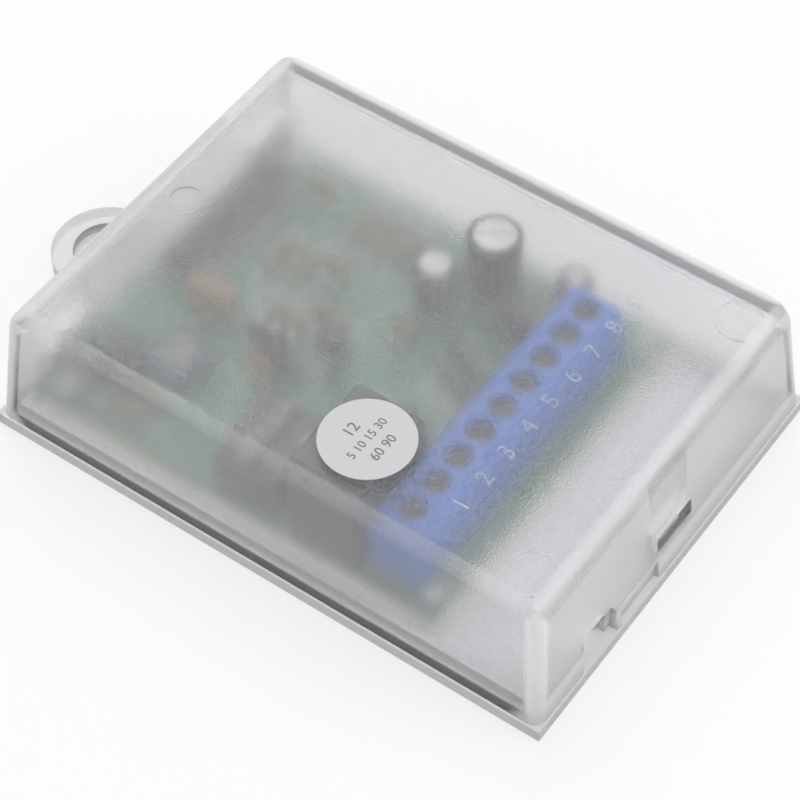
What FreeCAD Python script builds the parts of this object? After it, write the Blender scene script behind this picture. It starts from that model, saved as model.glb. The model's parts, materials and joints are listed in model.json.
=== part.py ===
"""Timer circuit board in its snap-together case.

A frosted lid stands on a flat base plate with one screw ear. Inside, a circuit board on four posts
carries a nine-way screw terminal block, a relay, the timer chip, capacitors, a setting trimmer,
a switch block, a start button, a mode link and the small parts round them.

Frame: millimetres, +Z up, origin at the middle of the base plate's underside, +X towards the cable end,
+Y towards the long side away from the relay.
"""

import FreeCAD, Part
import math
import os
import re
import Sketcher

# Driving dimensions, in millimetres and degrees.

SIZES = {
    # base plate and its screw ear
    "base_length": 89.1,
    "base_width": 65.4,
    "base_thick": 2.0,
    "ear_radius": 7.95,
    "ear_reach": 6.35,
    "ear_shift": -1.4,
    "ear_splay": 1.6,
    "ear_thick": 3.0,
    "ear_recess_radius": 4.8,
    "ear_floor": 1.4,
    "ear_hole_radius": 2.2,
    "lip_height": 2.2,
    "lip_thick": 1.2,
    "lip_gap": 0.15,
    # lid
    "lid_end_inset": 0.3,
    "lid_side_inset": 0.3,
    "lid_height": 20.8,
    "lid_draft": 6.0,
    "lid_wall": 2.0,
    "lid_top": 2.0,
    "end_edge_round": 4.0,
    "side_edge_round": 1.8,
    "inner_round": 1.8,
    # snap tongues and the lid's windows for them
    "tongue_width": 7.6,
    "tongue_thick": 1.3,
    "tongue_top": 9.5,
    "hook_height": 1.9,
    "hook_reach": 1.5,
    "web_gap": 0.1,
    "tongue_gap": 0.3,
    "tongue_right_y": 0.0,
    "tongue_from_front": 12.5,
    "tongue_from_back": 8.0,
    "relief_top": 19.5,
    "relief_inset": 1.0,
    "relief_depth": 2.5,
    # cable notch and prising slot in the lid's cable end
    "arch_from_front": 14.7,
    "arch_radius": 3.9,
    "arch_rise": 3.2,
    "arch_depth": 1.0,
    "cable_hole_width": 5.4,
    "cable_hole_height": 4.3,
    "slot_from_arch": 9.4,
    "slot_width": 9.0,
    "slot_height": 3.6,
    "slot_depth": 0.8,
    # round pads under the lid's top
    "pad_height": 0.4,
    "corner_pad_radius": 3.3,
    "corner_pad_from_end": 7.35,
    "corner_pad_from_side": 8.1,
    "end_pad_radius": 2.4,
    "end_pad_from_end": 8.95,
    # round label on the lid
    "label_radius": 6.45,
    "label_thick": 0.15,
    "label_from_middle": 9.5,
    "label_from_front": 12.5,
    # circuit board, its posts and screws
    "board_length": 66.4,
    "board_side_gap": 2.8,
    "board_thick": 1.6,
    "board_gap": 1.25,
    "board_notch_gap": 0.35,
    "post_height": 2.4,
    "post_radius": 2.6,
    "pin_radius": 1.2,
    "pin_gap": 0.15,
    "pin_rise": 0.8,
    "fix_inset_x": 3.8,
    "fix_inset_y": 3.2,
    "pin_inset_x": 1.75,
    "board_screw_radius": 1.0,
    "board_screw_head_radius": 2.2,
    "board_screw_head_height": 1.4,
    "board_screw_depth": 2.6,
    "recess_width": 0.7,
    # screw terminal block
    "way_count": 9,
    "way_pitch": 5.0,
    "first_way_from_front": 5.8,
    "terminal_from_right": 7.8,
    "terminal_back": 4.2,
    "terminal_front": 4.3,
    "terminal_height": 10.0,
    "terminal_end_wall": 0.4,
    "terminal_floor": 0.7,
    "terminal_chamfer": 1.0,
    "cavity_width": 3.9,
    "cavity_back": 3.0,
    "cavity_front": 2.3,
    "cavity_height": 6.0,
    "ledge": 0.7,
    "clamp_width": 3.6,
    "clamp_length": 3.7,
    "clamp_height": 3.9,
    "clamp_wall": 0.6,
    "clamp_top": 0.8,
    "clamp_clear": 0.1,
    "clamp_travel": 1.5,
    "bar_width": 1.8,
    "bar_thick": 0.7,
    "riser_thick": 0.7,
    "screw_radius": 1.2,
    "thread_gap": 0.05,
    "screw_head_radius": 1.7,
    "screw_head_height": 1.5,
    "screw_slot": 0.5,
    "well_radius": 2.0,
    "entry_height": 3.0,
    "lead_out": 1.4,
    "pin_side": 0.9,
    "hole_gap": 0.15,
    # timer chip
    "chip_from_left": 4.6,
    "chip_from_back": 18.6,
    "chip_length": 22.9,
    "chip_width": 6.4,
    "chip_height": 3.3,
    "chip_stand": 0.6,
    "chip_pins_per_side": 9,
    "chip_pin_pitch": 2.54,
    "chip_row": 7.62,
    "chip_pin_width": 1.3,
    "chip_pin_thick": 0.25,
    "chip_notch_radius": 0.9,
    # radial capacitors
    "tall_cap_from_right": 24.3,
    "tall_cap_from_back": 6.7,
    "tall_cap_radius": 4.0,
    "tall_cap_height": 12.2,
    "low_cap_from_right": 29.7,
    "low_cap_from_back": 13.2,
    "low_cap_radius": 3.15,
    "low_cap_height": 8.8,
    "small_cap_from_right": 13.2,
    "small_cap_from_back": 3.3,
    "small_cap_step": 1.9,
    "small_cap_room": 0.4,
    "small_cap_radius": 2.5,
    "small_cap_height": 7.2,
    "sleeve_thick": 0.25,
    "sleeve_turn_in": 0.9,
    "can_groove": 0.35,
    "can_crown": 0.35,
    "cap_stand": 0.3,
    "lead_radius": 0.3,
    # relay
    "relay_from_right": 17.8,
    "relay_from_front": 7.9,
    "relay_length": 15.5,
    "relay_width": 11.0,
    "relay_headroom": 0.4,
    "relay_wall": 0.6,
    "relay_round": 0.8,
    "relay_base_thick": 1.4,
    "relay_fit": 0.05,
    "relay_stand": 0.3,
    "bobbin_radius": 4.1,
    "bobbin_flange": 0.7,
    "coil_radius": 3.5,
    "coil_room": 8.4,
    "core_radius": 1.4,
    "pole_radius": 2.2,
    "pole_thick": 0.7,
    "coil_shift": 1.4,
    "yoke_thick": 1.0,
    "yoke_width": 6.0,
    "yoke_clear": 0.4,
    "armature_thick": 0.8,
    "armature_width": 5.6,
    "armature_gap": 0.7,
    "armature_overhang": 2.6,
    "spring_thick": 0.25,
    "spring_width": 2.4,
    "spring_reach": 2.4,
    "contact_radius": 0.8,
    "contact_margin": 0.1,
    "contact_thick": 0.4,
    "contact_gap": 0.5,
    "contact_rest": 0.1,
    "blade_thick": 0.4,
    "blade_inset": 0.5,
    # setting switch block
    "switch_from_right": 31.7,
    "switch_from_front": 7.6,
    "switch_count": 4,
    "switch_pitch": 2.54,
    "switch_width": 9.6,
    "switch_height": 5.4,
    "switch_end": 1.5,
    "slider_width": 1.3,
    "slider_length": 1.5,
    "slider_depth": 1.6,
    "slider_rise": 0.7,
    "slider_travel": 1.8,
    "slider_gap": 0.08,
    # trimmer
    "trimmer_from_left": 15.5,
    "trimmer_from_front": 12.1,
    "trimmer_side": 6.8,
    "trimmer_height": 4.6,
    "rotor_radius": 2.2,
    "rotor_gap": 0.06,
    "rotor_depth": 1.6,
    "rotor_rise": 0.3,
    "rotor_slot": 0.6,
    "rotor_slot_depth": 0.9,
    # start button
    "button_from_left": 8.0,
    "button_from_front": 8.6,
    "button_side": 6.0,
    "button_height": 3.5,
    "plunger_radius": 1.7,
    "plunger_gap": 0.06,
    "plunger_rise": 1.5,
    "plunger_travel": 0.4,
    "button_hollow": 1.4,
    # mode header and its link
    "header_from_left": 25.5,
    "header_from_front": 20.6,
    "header_pins": 3,
    "header_pitch": 2.54,
    "header_depth": 2.5,
    "header_height": 2.5,
    "header_pin_side": 0.64,
    "header_pin_rise": 6.0,
    "link_height": 5.6,
    "link_wall": 0.9,
    "link_gap": 0.05,
    # status lamp
    "lamp_from_right": 25.1,
    "lamp_from_front": 7.2,
    "lamp_radius": 1.5,
    "lamp_flange_radius": 1.65,
    "lamp_flange_height": 0.8,
    "lamp_height": 4.8,
    "lamp_stand": 4.6,
    "lamp_lead_pitch": 2.54,
    "lead_side": 0.5,
    # small parts
    "transistor_radius": 2.3,
    "transistor_height": 4.8,
    "transistor_flat": 1.3,
    "transistor_stand": 2.0,
    "resistor_radius": 1.15,
    "resistor_length": 6.0,
    "resistor_span": 10.0,
    "resistor_rise": 1.4,
    "resistor_cap_radius": 1.3,
    "resistor_cap_length": 1.3,
    "diode_radius": 1.35,
    "diode_length": 5.0,
    "diode_span": 10.0,
    "disc_radius": 2.4,
    "disc_thick": 1.6,
    "disc_rise": 3.2,
    "disc_pitch": 2.54,
    "resonator_length": 7.4,
    "resonator_thick": 3.0,
    "resonator_height": 6.0,
    "resonator_from_left": 12.6,
    "resonator_share_y": -0.0833,
    # where the small parts stand: from an edge of the board, or as a share of it
    "transistor_1_from_right": 34.8,
    "transistor_1_from_front": 25.2,
    "transistor_2_from_right": 16.4,
    "transistor_2_share_y": 0.264,
    "resistor_1_share_x": 0.307,
    "resistor_1_from_back": 8.0,
    "resistor_2_share_x": 0.364,
    "resistor_2_from_back": 8.0,
    "resistor_3_share_x": 0.421,
    "resistor_3_from_back": 8.0,
    "resistor_4_from_left": 13.8,
    "resistor_4_from_back": 19.2,
    "resistor_5_from_left": 17.8,
    "resistor_5_from_back": 19.2,
    "resistor_6_share_x": 0.398,
    "resistor_6_share_y": 0.062,
    "resistor_7_from_left": 14.0,
    "resistor_7_from_front": 4.0,
    "resistor_8_share_x": 0.328,
    "resistor_8_share_y": 0.0035,
    "diode_1_from_right": 21.6,
    "diode_1_share_y": 0.116,
    "diode_2_from_right": 17.8,
    "diode_2_share_y": 0.083,
    "diode_3_from_right": 20.0,
    "diode_3_share_y": -0.09,
    "disc_1_from_left": 12.8,
    "disc_1_from_back": 7.0,
    "disc_2_share_x": 0.352,
    "disc_2_share_y": 0.174,
    "disc_3_from_right": 29.0,
    "disc_3_share_y": 0.105,
    "disc_4_share_x": 0.377,
    "disc_4_from_front": 16.6,
}

# Which small parts lie along Y, and which along X.
RESISTORS = {"resistor_1": True, "resistor_2": True, "resistor_3": True, "resistor_4": True,
             "resistor_5": True, "resistor_6": False, "resistor_7": False, "resistor_8": False}
DIODES = {"diode_1": True, "diode_2": True, "diode_3": False}
TRANSISTORS = ("transistor_1", "transistor_2")
DISCS = ("disc_1", "disc_2", "disc_3", "disc_4")

# Values that follow from others, as formulas in the sheet.
DERIVED = {
    "board_width": "base_width - 2 * (lid_side_inset + lid_wall + board_side_gap)",
    "board_left": "board_gap + lid_wall + lid_end_inset - base_length / 2",
    "board_right": "board_left + board_length",
    "board_front": "0 - board_width / 2",
    "board_back": "board_width / 2",
    "tongue_left_front_y": "tongue_from_front - base_width / 2",
    "tongue_left_back_y": "base_width / 2 - tongue_from_back",
    "arch_y": "arch_from_front - base_width / 2",
    "slot_y": "arch_y + slot_from_arch",
    "corner_pad_x": "base_length / 2 - corner_pad_from_end",
    "corner_pad_y": "base_width / 2 - corner_pad_from_side",
    "end_pad_x": "end_pad_from_end - base_length / 2",
    "label_x": "label_from_middle",
    "label_y": "label_from_front - base_width / 2",
    "first_way_y": "board_front + first_way_from_front",
    "relay_height": "lid_height - lid_top - post_height - board_thick - relay_headroom",
    "coil_length": "relay_height - coil_room",
}
EDGES = {"_from_left": ("x", "board_left + {}"), "_from_right": ("x", "board_right - {}"),
         "_share_x": ("x", "board_left + {} * board_length"), "_from_front": ("y", "board_front + {}"),
         "_from_back": ("y", "board_back - {}"), "_share_y": ("y", "{} * board_width")}
for size in SIZES:
    for ending, (axis, rule) in EDGES.items():
        alias = f"{size.removesuffix(ending)}_{axis}"
        if size.endswith(ending) and not size.startswith(("tongue", "arch", "label", "first_way")):
            DERIVED[alias] = rule.format(size)
# The small can steps aside, away from the terminal block, where a narrow board leaves it no room behind.
DERIVED["small_cap_x"] = ("board_right - small_cap_from_right - min(small_cap_step; max(0; first_way_y "
                          "+ (way_count - 0.5) * way_pitch + small_cap_radius + small_cap_room - small_cap_y))")
NAMES = set(SIZES) | set(DERIVED)

# Heights and edges that several pieces share, as formulas in the names above.
BOARD_TOP = "(base_thick + post_height + board_thick)"
LID_FOOT_LENGTH = "(base_length - 2 * lid_end_inset)"
LID_FOOT_WIDTH = "(base_width - 2 * lid_side_inset)"
LIP_LENGTH = f"({LID_FOOT_LENGTH} - 2 * (lid_wall + lip_height * tan(lid_draft) + lip_gap))"
LIP_WIDTH = f"({LID_FOOT_WIDTH} - 2 * (lid_wall + lip_height * tan(lid_draft) + lip_gap))"
FIX_LEFT = "(board_left + fix_inset_x)"
FIX_Y = "(board_width / 2 - fix_inset_y)"
PIN_RIGHT = "(board_right - pin_inset_x)"
TONGUE_FACE = f"({LID_FOOT_LENGTH} / 2 - lid_wall - (tongue_top - base_thick) * tan(lid_draft) - lip_gap)"
TONGUES = ((1, "tongue_right_y"), (-1, "tongue_left_front_y"), (-1, "tongue_left_back_y"))
EAR_X = "(0 - base_length / 2 - ear_reach)"
LEAD_BOTTOM = "(base_thick + post_height - lead_out)"

doc = FreeCAD.newDocument("TimerBoard")
sheet = doc.addObject("Spreadsheet::Sheet", "Dimensions")
entries = list(SIZES.items()) + [(alias, f"={rule}") for alias, rule in DERIVED.items()]
for row, (alias, entry) in enumerate(entries, start=1):
    sheet.set(f"A{row}", alias.replace("_", " "))
    sheet.set(f"B{row}", str(entry))
    sheet.setAlias(f"B{row}", alias)
doc.recompute()

nodes = []


def formula(text):
    """Point every size name in a formula at the sheet."""
    return re.sub(r"[a-z][a-z_0-9]*", lambda m: "Dimensions." + m[0] if m[0] in NAMES else m[0], str(text))


def bind(item, name, text):
    """Bind one property of an object to a formula."""
    item.setExpression(name, formula(text))


def place(item, x, y, z, rotation=None):
    """Put an object at a point given by three formulas."""
    if rotation is not None:
        item.Placement = FreeCAD.Placement(FreeCAD.Vector(), rotation)
    for axis, text in zip("xyz", (x, y, z)):
        bind(item, f"Placement.Base.{axis}", text)
    return item


def box(x, y, z, length, width, height, name="Block"):
    """A box centred on x and y that starts at z."""
    item = doc.addObject("Part::Box", name)
    bind(item, "Length", length)
    bind(item, "Width", width)
    bind(item, "Height", height)
    return place(item, f"{x} - ({length}) / 2", f"{y} - ({width}) / 2", z)


ALONG_X = FreeCAD.Rotation(FreeCAD.Vector(0, 1, 0), 90)
ALONG_Y = FreeCAD.Rotation(FreeCAD.Vector(1, 0, 0), -90)


def rod(x, y, z, radius, height, rotation=None, name="Rod"):
    """A cylinder that starts at x, y, z and runs up, or along X or Y."""
    item = doc.addObject("Part::Cylinder", name)
    bind(item, "Radius", radius)
    bind(item, "Height", height)
    return place(item, x, y, z, rotation)


def cone(x, y, z, low, high, height, name="Taper"):
    """A cone frustum that stands at x, y, z."""
    item = doc.addObject("Part::Cone", name)
    bind(item, "Radius1", low)
    bind(item, "Radius2", high)
    bind(item, "Height", height)
    return place(item, x, y, z)


def ball(x, y, z, radius, name="Ball"):
    """A sphere about x, y, z."""
    item = doc.addObject("Part::Sphere", name)
    bind(item, "Radius", radius)
    return place(item, x, y, z)


def fuse(*items, name="Joined"):
    """Several touching objects as one solid."""
    if len(items) == 1:
        return items[0]
    item = doc.addObject("Part::MultiFuse", name)
    item.Shapes = list(items)
    item.Refine = True
    return item


def cut(base, *tools, name="Cut"):
    """One object less the others."""
    item = doc.addObject("Part::Cut", name)
    item.Base = base
    item.Tool = fuse(*tools)
    item.Refine = True
    return item


def common(first, second, name="Common"):
    """What two objects share."""
    item = doc.addObject("Part::MultiCommon", name)
    item.Shapes = [first, second]
    return item


def group(*items, name="Group"):
    """Separate solids that make one sub-part."""
    item = doc.addObject("Part::Compound", name)
    item.Links = list(items)
    return item


def node(item, label):
    """Name a finished sub-part."""
    item.Label = label
    nodes.append(item)
    return item


def body(name):
    """A new PartDesign body."""
    return doc.addObject("PartDesign::Body", name)


def plane_of(owner, role):
    """One of a body's own origin planes."""
    return next(f for f in owner.Origin.OriginFeatures if f.Role == role)


def sketch(owner, name, role="XY_Plane", x="0", y="0", z="0"):
    """An empty sketch on a body's plane, moved by three formulas."""
    item = owner.newObject("Sketcher::SketchObject", name)
    item.AttachmentSupport = [(plane_of(owner, role), "")]
    item.MapMode = "FlatFace"
    for axis, text in zip("xyz", (x, y, z)):
        bind(item, f"AttachmentOffset.Base.{axis}", text)
    return item


def draw_rectangle(item, length, width):
    """A rectangle about the sketch's origin, its sides bound to two formulas."""
    first = item.GeometryCount
    corners = [FreeCAD.Vector(sx * 5, sy * 4, 0) for sx, sy in ((-1, -1), (1, -1), (1, 1), (-1, 1))]
    for start, end in zip(corners, corners[1:] + corners[:1]):
        item.addGeometry(Part.LineSegment(start, end), False)
    for side in range(4):
        item.addConstraint(Sketcher.Constraint("Coincident", first + side, 2, first + (side + 1) % 4, 1))
        kind = "Horizontal" if side % 2 == 0 else "Vertical"
        item.addConstraint(Sketcher.Constraint(kind, first + side))
    item.addConstraint(Sketcher.Constraint("Symmetric", first, 1, first + 2, 1, -1, 1))
    for side, kind, text in ((0, "DistanceX", length), (1, "DistanceY", width)):
        number = item.addConstraint(Sketcher.Constraint(kind, first + side, 1, first + side, 2, 8.0))
        bind(item, f"Constraints[{number}]", text)
    return item


def draw_circle(item, radius):
    """A circle about the sketch's origin."""
    first = item.addGeometry(Part.Circle(FreeCAD.Vector(), FreeCAD.Vector(0, 0, 1), 3.0), False)
    item.addConstraint(Sketcher.Constraint("Coincident", first, 3, -1, 1))
    number = item.addConstraint(Sketcher.Constraint("Radius", first, 3.0))
    bind(item, f"Constraints[{number}]", radius)
    return item


def pad(owner, profile, length, draft=None, name="Pad"):
    """A sketch drawn up into a solid, with or without draft."""
    item = owner.newObject("PartDesign::Pad", name)
    item.Profile = profile
    bind(item, "Length", length)
    if draft is not None:
        bind(item, "TaperAngle", draft)
    doc.recompute()
    return item


def pocket(owner, profile, length, draft=None, upwards=True, name="Pocket"):
    """A sketch cut out of a solid, upwards from the sketch or down into it."""
    item = owner.newObject("PartDesign::Pocket", name)
    item.Profile = profile
    item.Reversed = upwards
    bind(item, "Length", length)
    if draft is not None:
        bind(item, "TaperAngle", draft)
    before = item.BaseFeature.Shape.Volume
    doc.recompute()
    if item.Shape.Volume >= before:
        raise RuntimeError(f"{item.Name} in {owner.Name} cuts nothing")
    return item


def repeat(owner, features, role, length, count, name="Pattern"):
    """Copies of features in a row, counted from the first."""
    item = owner.newObject("PartDesign::LinearPattern", name)
    item.Originals = features
    item.Direction = (plane_of(owner, role), [""])
    item.Reversed = True
    bind(item, "Length", length)
    bind(item, "Occurrences", count)
    owner.Tip = item
    doc.recompute()
    return item


def round_edges(owner, base, radius, wanted, name="Fillet"):
    """Round each edge of a feature that a test picks."""
    names = [f"Edge{i}" for i, edge in enumerate(base.Shape.Edges, start=1) if wanted(edge)]
    if not names:
        raise RuntimeError(f"{name} in {owner.Name} finds no edge")
    item = owner.newObject("PartDesign::Fillet", name)
    item.Base = (base, names)
    bind(item, "Radius", radius)
    doc.recompute()
    return item


def value(text):
    """What a formula comes to, read from the sheet."""
    return float(sheet.evalExpression(formula(text)))


# Base plate: plate, screw ear, locating lip, snap tongues, board posts.

def base_plate():
    """The flat base with everything that is moulded on it."""
    owner = body("BasePlate")
    plate = draw_rectangle(sketch(owner, "PlateOutline"), "base_length", "base_width")
    pad(owner, plate, "base_thick", name="Plate")
    ring = sketch(owner, "LipOutline", z="base_thick")
    draw_rectangle(ring, LIP_LENGTH, LIP_WIDTH)
    draw_rectangle(ring, f"{LIP_LENGTH} - 2 * lip_thick", f"{LIP_WIDTH} - 2 * lip_thick")
    lip = pad(owner, ring, "lip_height", name="Lip")
    owner.Tip = lip
    doc.recompute()

    gate = box(f"{LIP_LENGTH} / 2", "arch_y", "base_thick", "4 * lip_thick", "cable_hole_width",
               "2 * lip_height", name="CableGate")
    parts = [cut(owner, gate, name="PlateWithGate"), screw_ear()]
    parts += [snap_tongue(side, y) for side, y in TONGUES]
    for x, y in board_screw_places():
        parts.append(rod(x, y, "base_thick", "post_radius", "post_height", name="ScrewPost"))
    for x, y in board_pin_places():
        parts.append(rod(x, y, "base_thick", "post_radius", "post_height", name="PinPost"))
        parts.append(rod(x, y, "base_thick", "pin_radius",
                         "post_height + board_thick + pin_rise", name="LocatingPin"))
    holes = [rod(x, y, "base_thick + post_height - board_screw_depth", "board_screw_radius",
                 "2 * board_screw_depth", name="Pilot") for x, y in board_screw_places()]
    holes.append(rod(EAR_X, "ear_shift", "0", "ear_hole_radius", "2 * ear_thick", name="EarHole"))
    holes.append(rod(EAR_X, "ear_shift", "ear_floor", "ear_recess_radius", "2 * ear_thick", name="EarRecess"))
    return node(cut(fuse(*parts), *holes, name="Base"), "base_plate")


def screw_ear():
    """The round ear and its neck, which is wider where it leaves the plate."""
    disc = rod(EAR_X, "ear_shift", "0", "ear_radius", "ear_thick", name="EarDisc")
    neck = doc.addObject("Part::Wedge", "EarNeck")
    for name, text in (("Xmin", "0 - ear_radius - ear_splay"), ("Xmax", "ear_radius"), ("X2min", "0 - ear_radius"),
                       ("X2max", "ear_radius"), ("Ymin", "0"), ("Ymax", "ear_reach + lid_end_inset"), ("Zmin", "0"),
                       ("Zmax", "ear_thick"), ("Z2min", "0"), ("Z2max", "ear_thick")):
        bind(neck, name, text)
    place(neck, "lid_end_inset - base_length / 2", "ear_shift", "0",
          FreeCAD.Rotation(FreeCAD.Vector(0, 0, 1), 90))
    room = box(f"0 - {LID_FOOT_LENGTH} / 2 + ear_radius", "ear_shift", "base_thick", "2 * ear_radius",
               "4 * ear_radius", "ear_thick", name="LidRoom")
    return cut(fuse(disc, neck), room, name="Ear")


def board_screw_places():
    """The two corners where a screw holds the board."""
    return [(FIX_LEFT, f"(0 - {FIX_Y})"), (FIX_LEFT, FIX_Y)]


def board_pin_places():
    """The two corners where a pin locates the board."""
    return [(PIN_RIGHT, f"(0 - {FIX_Y})"), (PIN_RIGHT, FIX_Y)]


def snap_tongue(side, y):
    """One upright tongue inside the lid's end wall, with its hook pointing out."""
    blade = box(f"({side}) * ({TONGUE_FACE} - tongue_thick / 2)", y, "base_thick", "tongue_thick",
                "tongue_width", "tongue_top - base_thick", name="TongueBlade")
    hook = box(f"({side}) * ({TONGUE_FACE} + (hook_reach - tongue_thick) / 2)", y, "tongue_top - hook_height",
               "tongue_thick + hook_reach", "tongue_width", "hook_height", name="TongueHook")
    chamfer = doc.addObject("Part::Chamfer", "HookChamfer")
    chamfer.Base = hook
    doc.recompute()
    reach = side * value(f"{TONGUE_FACE} + hook_reach")
    top = value("tongue_top")
    found = [i for i, e in enumerate(hook.Shape.Edges, start=1)
             if abs(e.CenterOfMass.x - reach) < 1e-6 and abs(e.CenterOfMass.z - top) < 1e-6]
    depth = 0.5 * value("hook_reach")
    chamfer.Edges = [(i, depth, depth) for i in found]
    return fuse(blade, chamfer, name="Tongue")


# Lid: drafted shell with its windows, cable arch and pads.

def lid():
    """The frosted lid, open below."""
    owner = body("LidShell")
    foot = draw_rectangle(sketch(owner, "LidFoot", z="base_thick"), LID_FOOT_LENGTH, LID_FOOT_WIDTH)
    block = pad(owner, foot, "lid_height", draft="0 - lid_draft", name="LidBlock")
    top = value("base_thick + lid_height")
    ends = round_edges(owner, block, "end_edge_round",
                       lambda e: abs(e.CenterOfMass.z - top) < 1e-6 and abs(e.CenterOfMass.y) < 1e-6,
                       name="EndEdges")
    half = value(f"{LID_FOOT_WIDTH} / 2")
    slope = math.tan(math.radians(value("lid_draft")))
    foot_z = value("base_thick")

    def on_side(edge):
        """True for an edge that lies in one of the two long side faces, above the foot."""
        spots = [edge.valueAt(edge.FirstParameter + k / 4 * (edge.LastParameter - edge.FirstParameter))
                 for k in range(5)]
        return all(abs(half - slope * (p.z - foot_z) - abs(p.y)) < 1e-4 for p in spots) \
            and max(p.z for p in spots) > foot_z + 1e-3

    sides = round_edges(owner, ends, "side_edge_round", on_side, name="SideEdges")
    hollow = sketch(owner, "HollowOutline", z="base_thick")
    draw_rectangle(hollow, f"{LID_FOOT_LENGTH} - 2 * lid_wall", f"{LID_FOOT_WIDTH} - 2 * lid_wall")
    room = pocket(owner, hollow, "lid_height - lid_top", draft="0 - lid_draft", name="Hollow")
    inner_top = value("base_thick + lid_height - lid_top")
    room = round_edges(owner, room, "inner_round",
                       lambda e: abs(e.CenterOfMass.z - inner_top) < 1e-6, name="HollowEdges")
    owner.Tip = room
    doc.recompute()

    end = f"({LID_FOOT_LENGTH} / 2)"
    tools = []
    for side, y in TONGUES:
        tools.append(box(f"({side}) * ({end} - lid_wall - relief_inset - relief_depth / 2)", y, "base_thick",
                         "relief_depth", "tongue_width + 2 * tongue_gap", "relief_top - base_thick",
                         name="TongueRelief"))
        tools.append(box(f"({side}) * {end}", y, "tongue_top - hook_height - tongue_gap",
                         "4 * lid_wall", "tongue_width + 2 * tongue_gap",
                         "hook_height + 2 * tongue_gap", name="HookWindow"))
        tools.append(box(f"({side}) * ({TONGUE_FACE} + (hook_reach + web_gap) / 2)", y, "base_thick",
                         "hook_reach + web_gap", "tongue_width + 2 * tongue_gap",
                         "tongue_top - hook_height - base_thick", name="HookGroove"))
    tools.append(cable_arch())
    tools.append(box(end, "arch_y", "base_thick", "4 * lid_wall", "cable_hole_width",
                     "cable_hole_height", name="CableHole"))
    tools.append(box(end, "slot_y", "base_thick", "2 * slot_depth", "slot_width", "slot_height",
                     name="PrisingSlot"))
    shell = cut(owner, *tools, name="LidCut")
    under = "(base_thick + lid_height - lid_top)"
    pads = [rod(x, y, f"{under} - pad_height", r, "pad_height + lid_top / 2", name="EjectorPad")
            for x, y, r in (("corner_pad_x", "(0 - corner_pad_y)", "corner_pad_radius"),
                            ("corner_pad_x", "corner_pad_y", "corner_pad_radius"),
                            ("end_pad_x", "0", "end_pad_radius"))]
    return node(fuse(shell, *pads, name="Lid"), "lid")


def cable_arch():
    """The round-topped recess round the cable hole, cut square to the wall."""
    out = f"({LID_FOOT_LENGTH} / 2)"
    deep = "(arch_depth + arch_rise * tan(lid_draft))"
    post = box(out, "arch_y", "base_thick", f"2 * {deep}", "2 * arch_radius", "arch_rise", name="ArchFoot")
    head = rod(f"{out} - {deep}", "arch_y", "base_thick + arch_rise", "arch_radius", f"2 * {deep}",
               ALONG_X, name="ArchHead")
    return fuse(post, head, name="Arch")


def round_label():
    """The round white label on the lid."""
    disc = rod("label_x", "label_y", "base_thick + lid_height", "label_radius", "label_thick", name="Label")
    return node(disc, "round_label")


# Circuit board and what holds it.

def circuit_board():
    """The board, with its fixing holes and a hole for each lead."""
    owner = body("Board")
    outline = sketch(owner, "BoardOutline", x="board_left + board_length / 2", z="base_thick + post_height")
    draw_rectangle(outline, "board_length", "board_width")
    pad(owner, outline, "board_thick", name="BoardPad")
    owner.Tip = owner.Group[-1]
    doc.recompute()
    deep = ("base_thick + post_height - board_thick", "3 * board_thick")
    drills = []
    for x, y in board_screw_places():
        drills.append(rod(x, y, deep[0], "board_screw_radius + pin_gap", deep[1], name="ScrewHole"))
    for x, y in board_pin_places():
        drills.append(rod(x, y, deep[0], "pin_radius + pin_gap", deep[1], name="PinHole"))
    for side, y in TONGUES[1:]:
        drills.append(box(f"({side}) * ({TONGUE_FACE} + tongue_thick)", y, deep[0],
                          "4 * tongue_thick + 2 * board_notch_gap", "tongue_width + 2 * board_notch_gap", deep[1],
                          name="TongueNotch"))
    for x, y, radius in LEADS:
        drills.append(rod(x, y, deep[0], f"{radius} + hole_gap", deep[1], name="LeadHole"))
    return node(cut(owner, *drills, name="DrilledBoard"), "circuit_board")


def board_screws():
    """The two screws that hold the board on its posts."""
    made = []
    for x, y in board_screw_places():
        head = cone(x, y, BOARD_TOP, "board_screw_head_radius", "board_screw_head_radius * 0.72",
                    "board_screw_head_height", name="BoardScrewHead")
        shank = rod(x, y, f"{BOARD_TOP} - board_thick - board_screw_depth", "board_screw_radius",
                    "board_thick + board_screw_depth", name="BoardScrewShank")
        top = f"{BOARD_TOP} + board_screw_head_height * 0.4"
        cross = [box(x, y, top, a, b, "board_screw_head_height", name="CrossRecess")
                 for a, b in (("board_screw_head_radius * 1.1", "recess_width"),
                              ("recess_width", "board_screw_head_radius * 1.1"))]
        made.append(cut(fuse(head, shank), *cross))
    return node(group(*made, name="BoardScrews"), "board_screws")


# Screw terminal block.

TERMINAL_LENGTH = "(way_count * way_pitch + 2 * terminal_end_wall)"
TERMINAL_Y = "(first_way_y + (way_count - 1) * way_pitch / 2)"
CAVITY_FLOOR = f"({BOARD_TOP} + terminal_floor)"
LEDGE_Z = f"({CAVITY_FLOOR} + cavity_height)"
CLAMP_Z = f"({CAVITY_FLOOR} + clamp_clear)"
BAR_Z = f"({CLAMP_Z} + clamp_height - clamp_top - clamp_clear - bar_thick)"
HEAD_Z = f"({LEDGE_Z} + ledge)"
RISER_X = "(terminal_x - cavity_back + clamp_clear + riser_thick / 2)"


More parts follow.
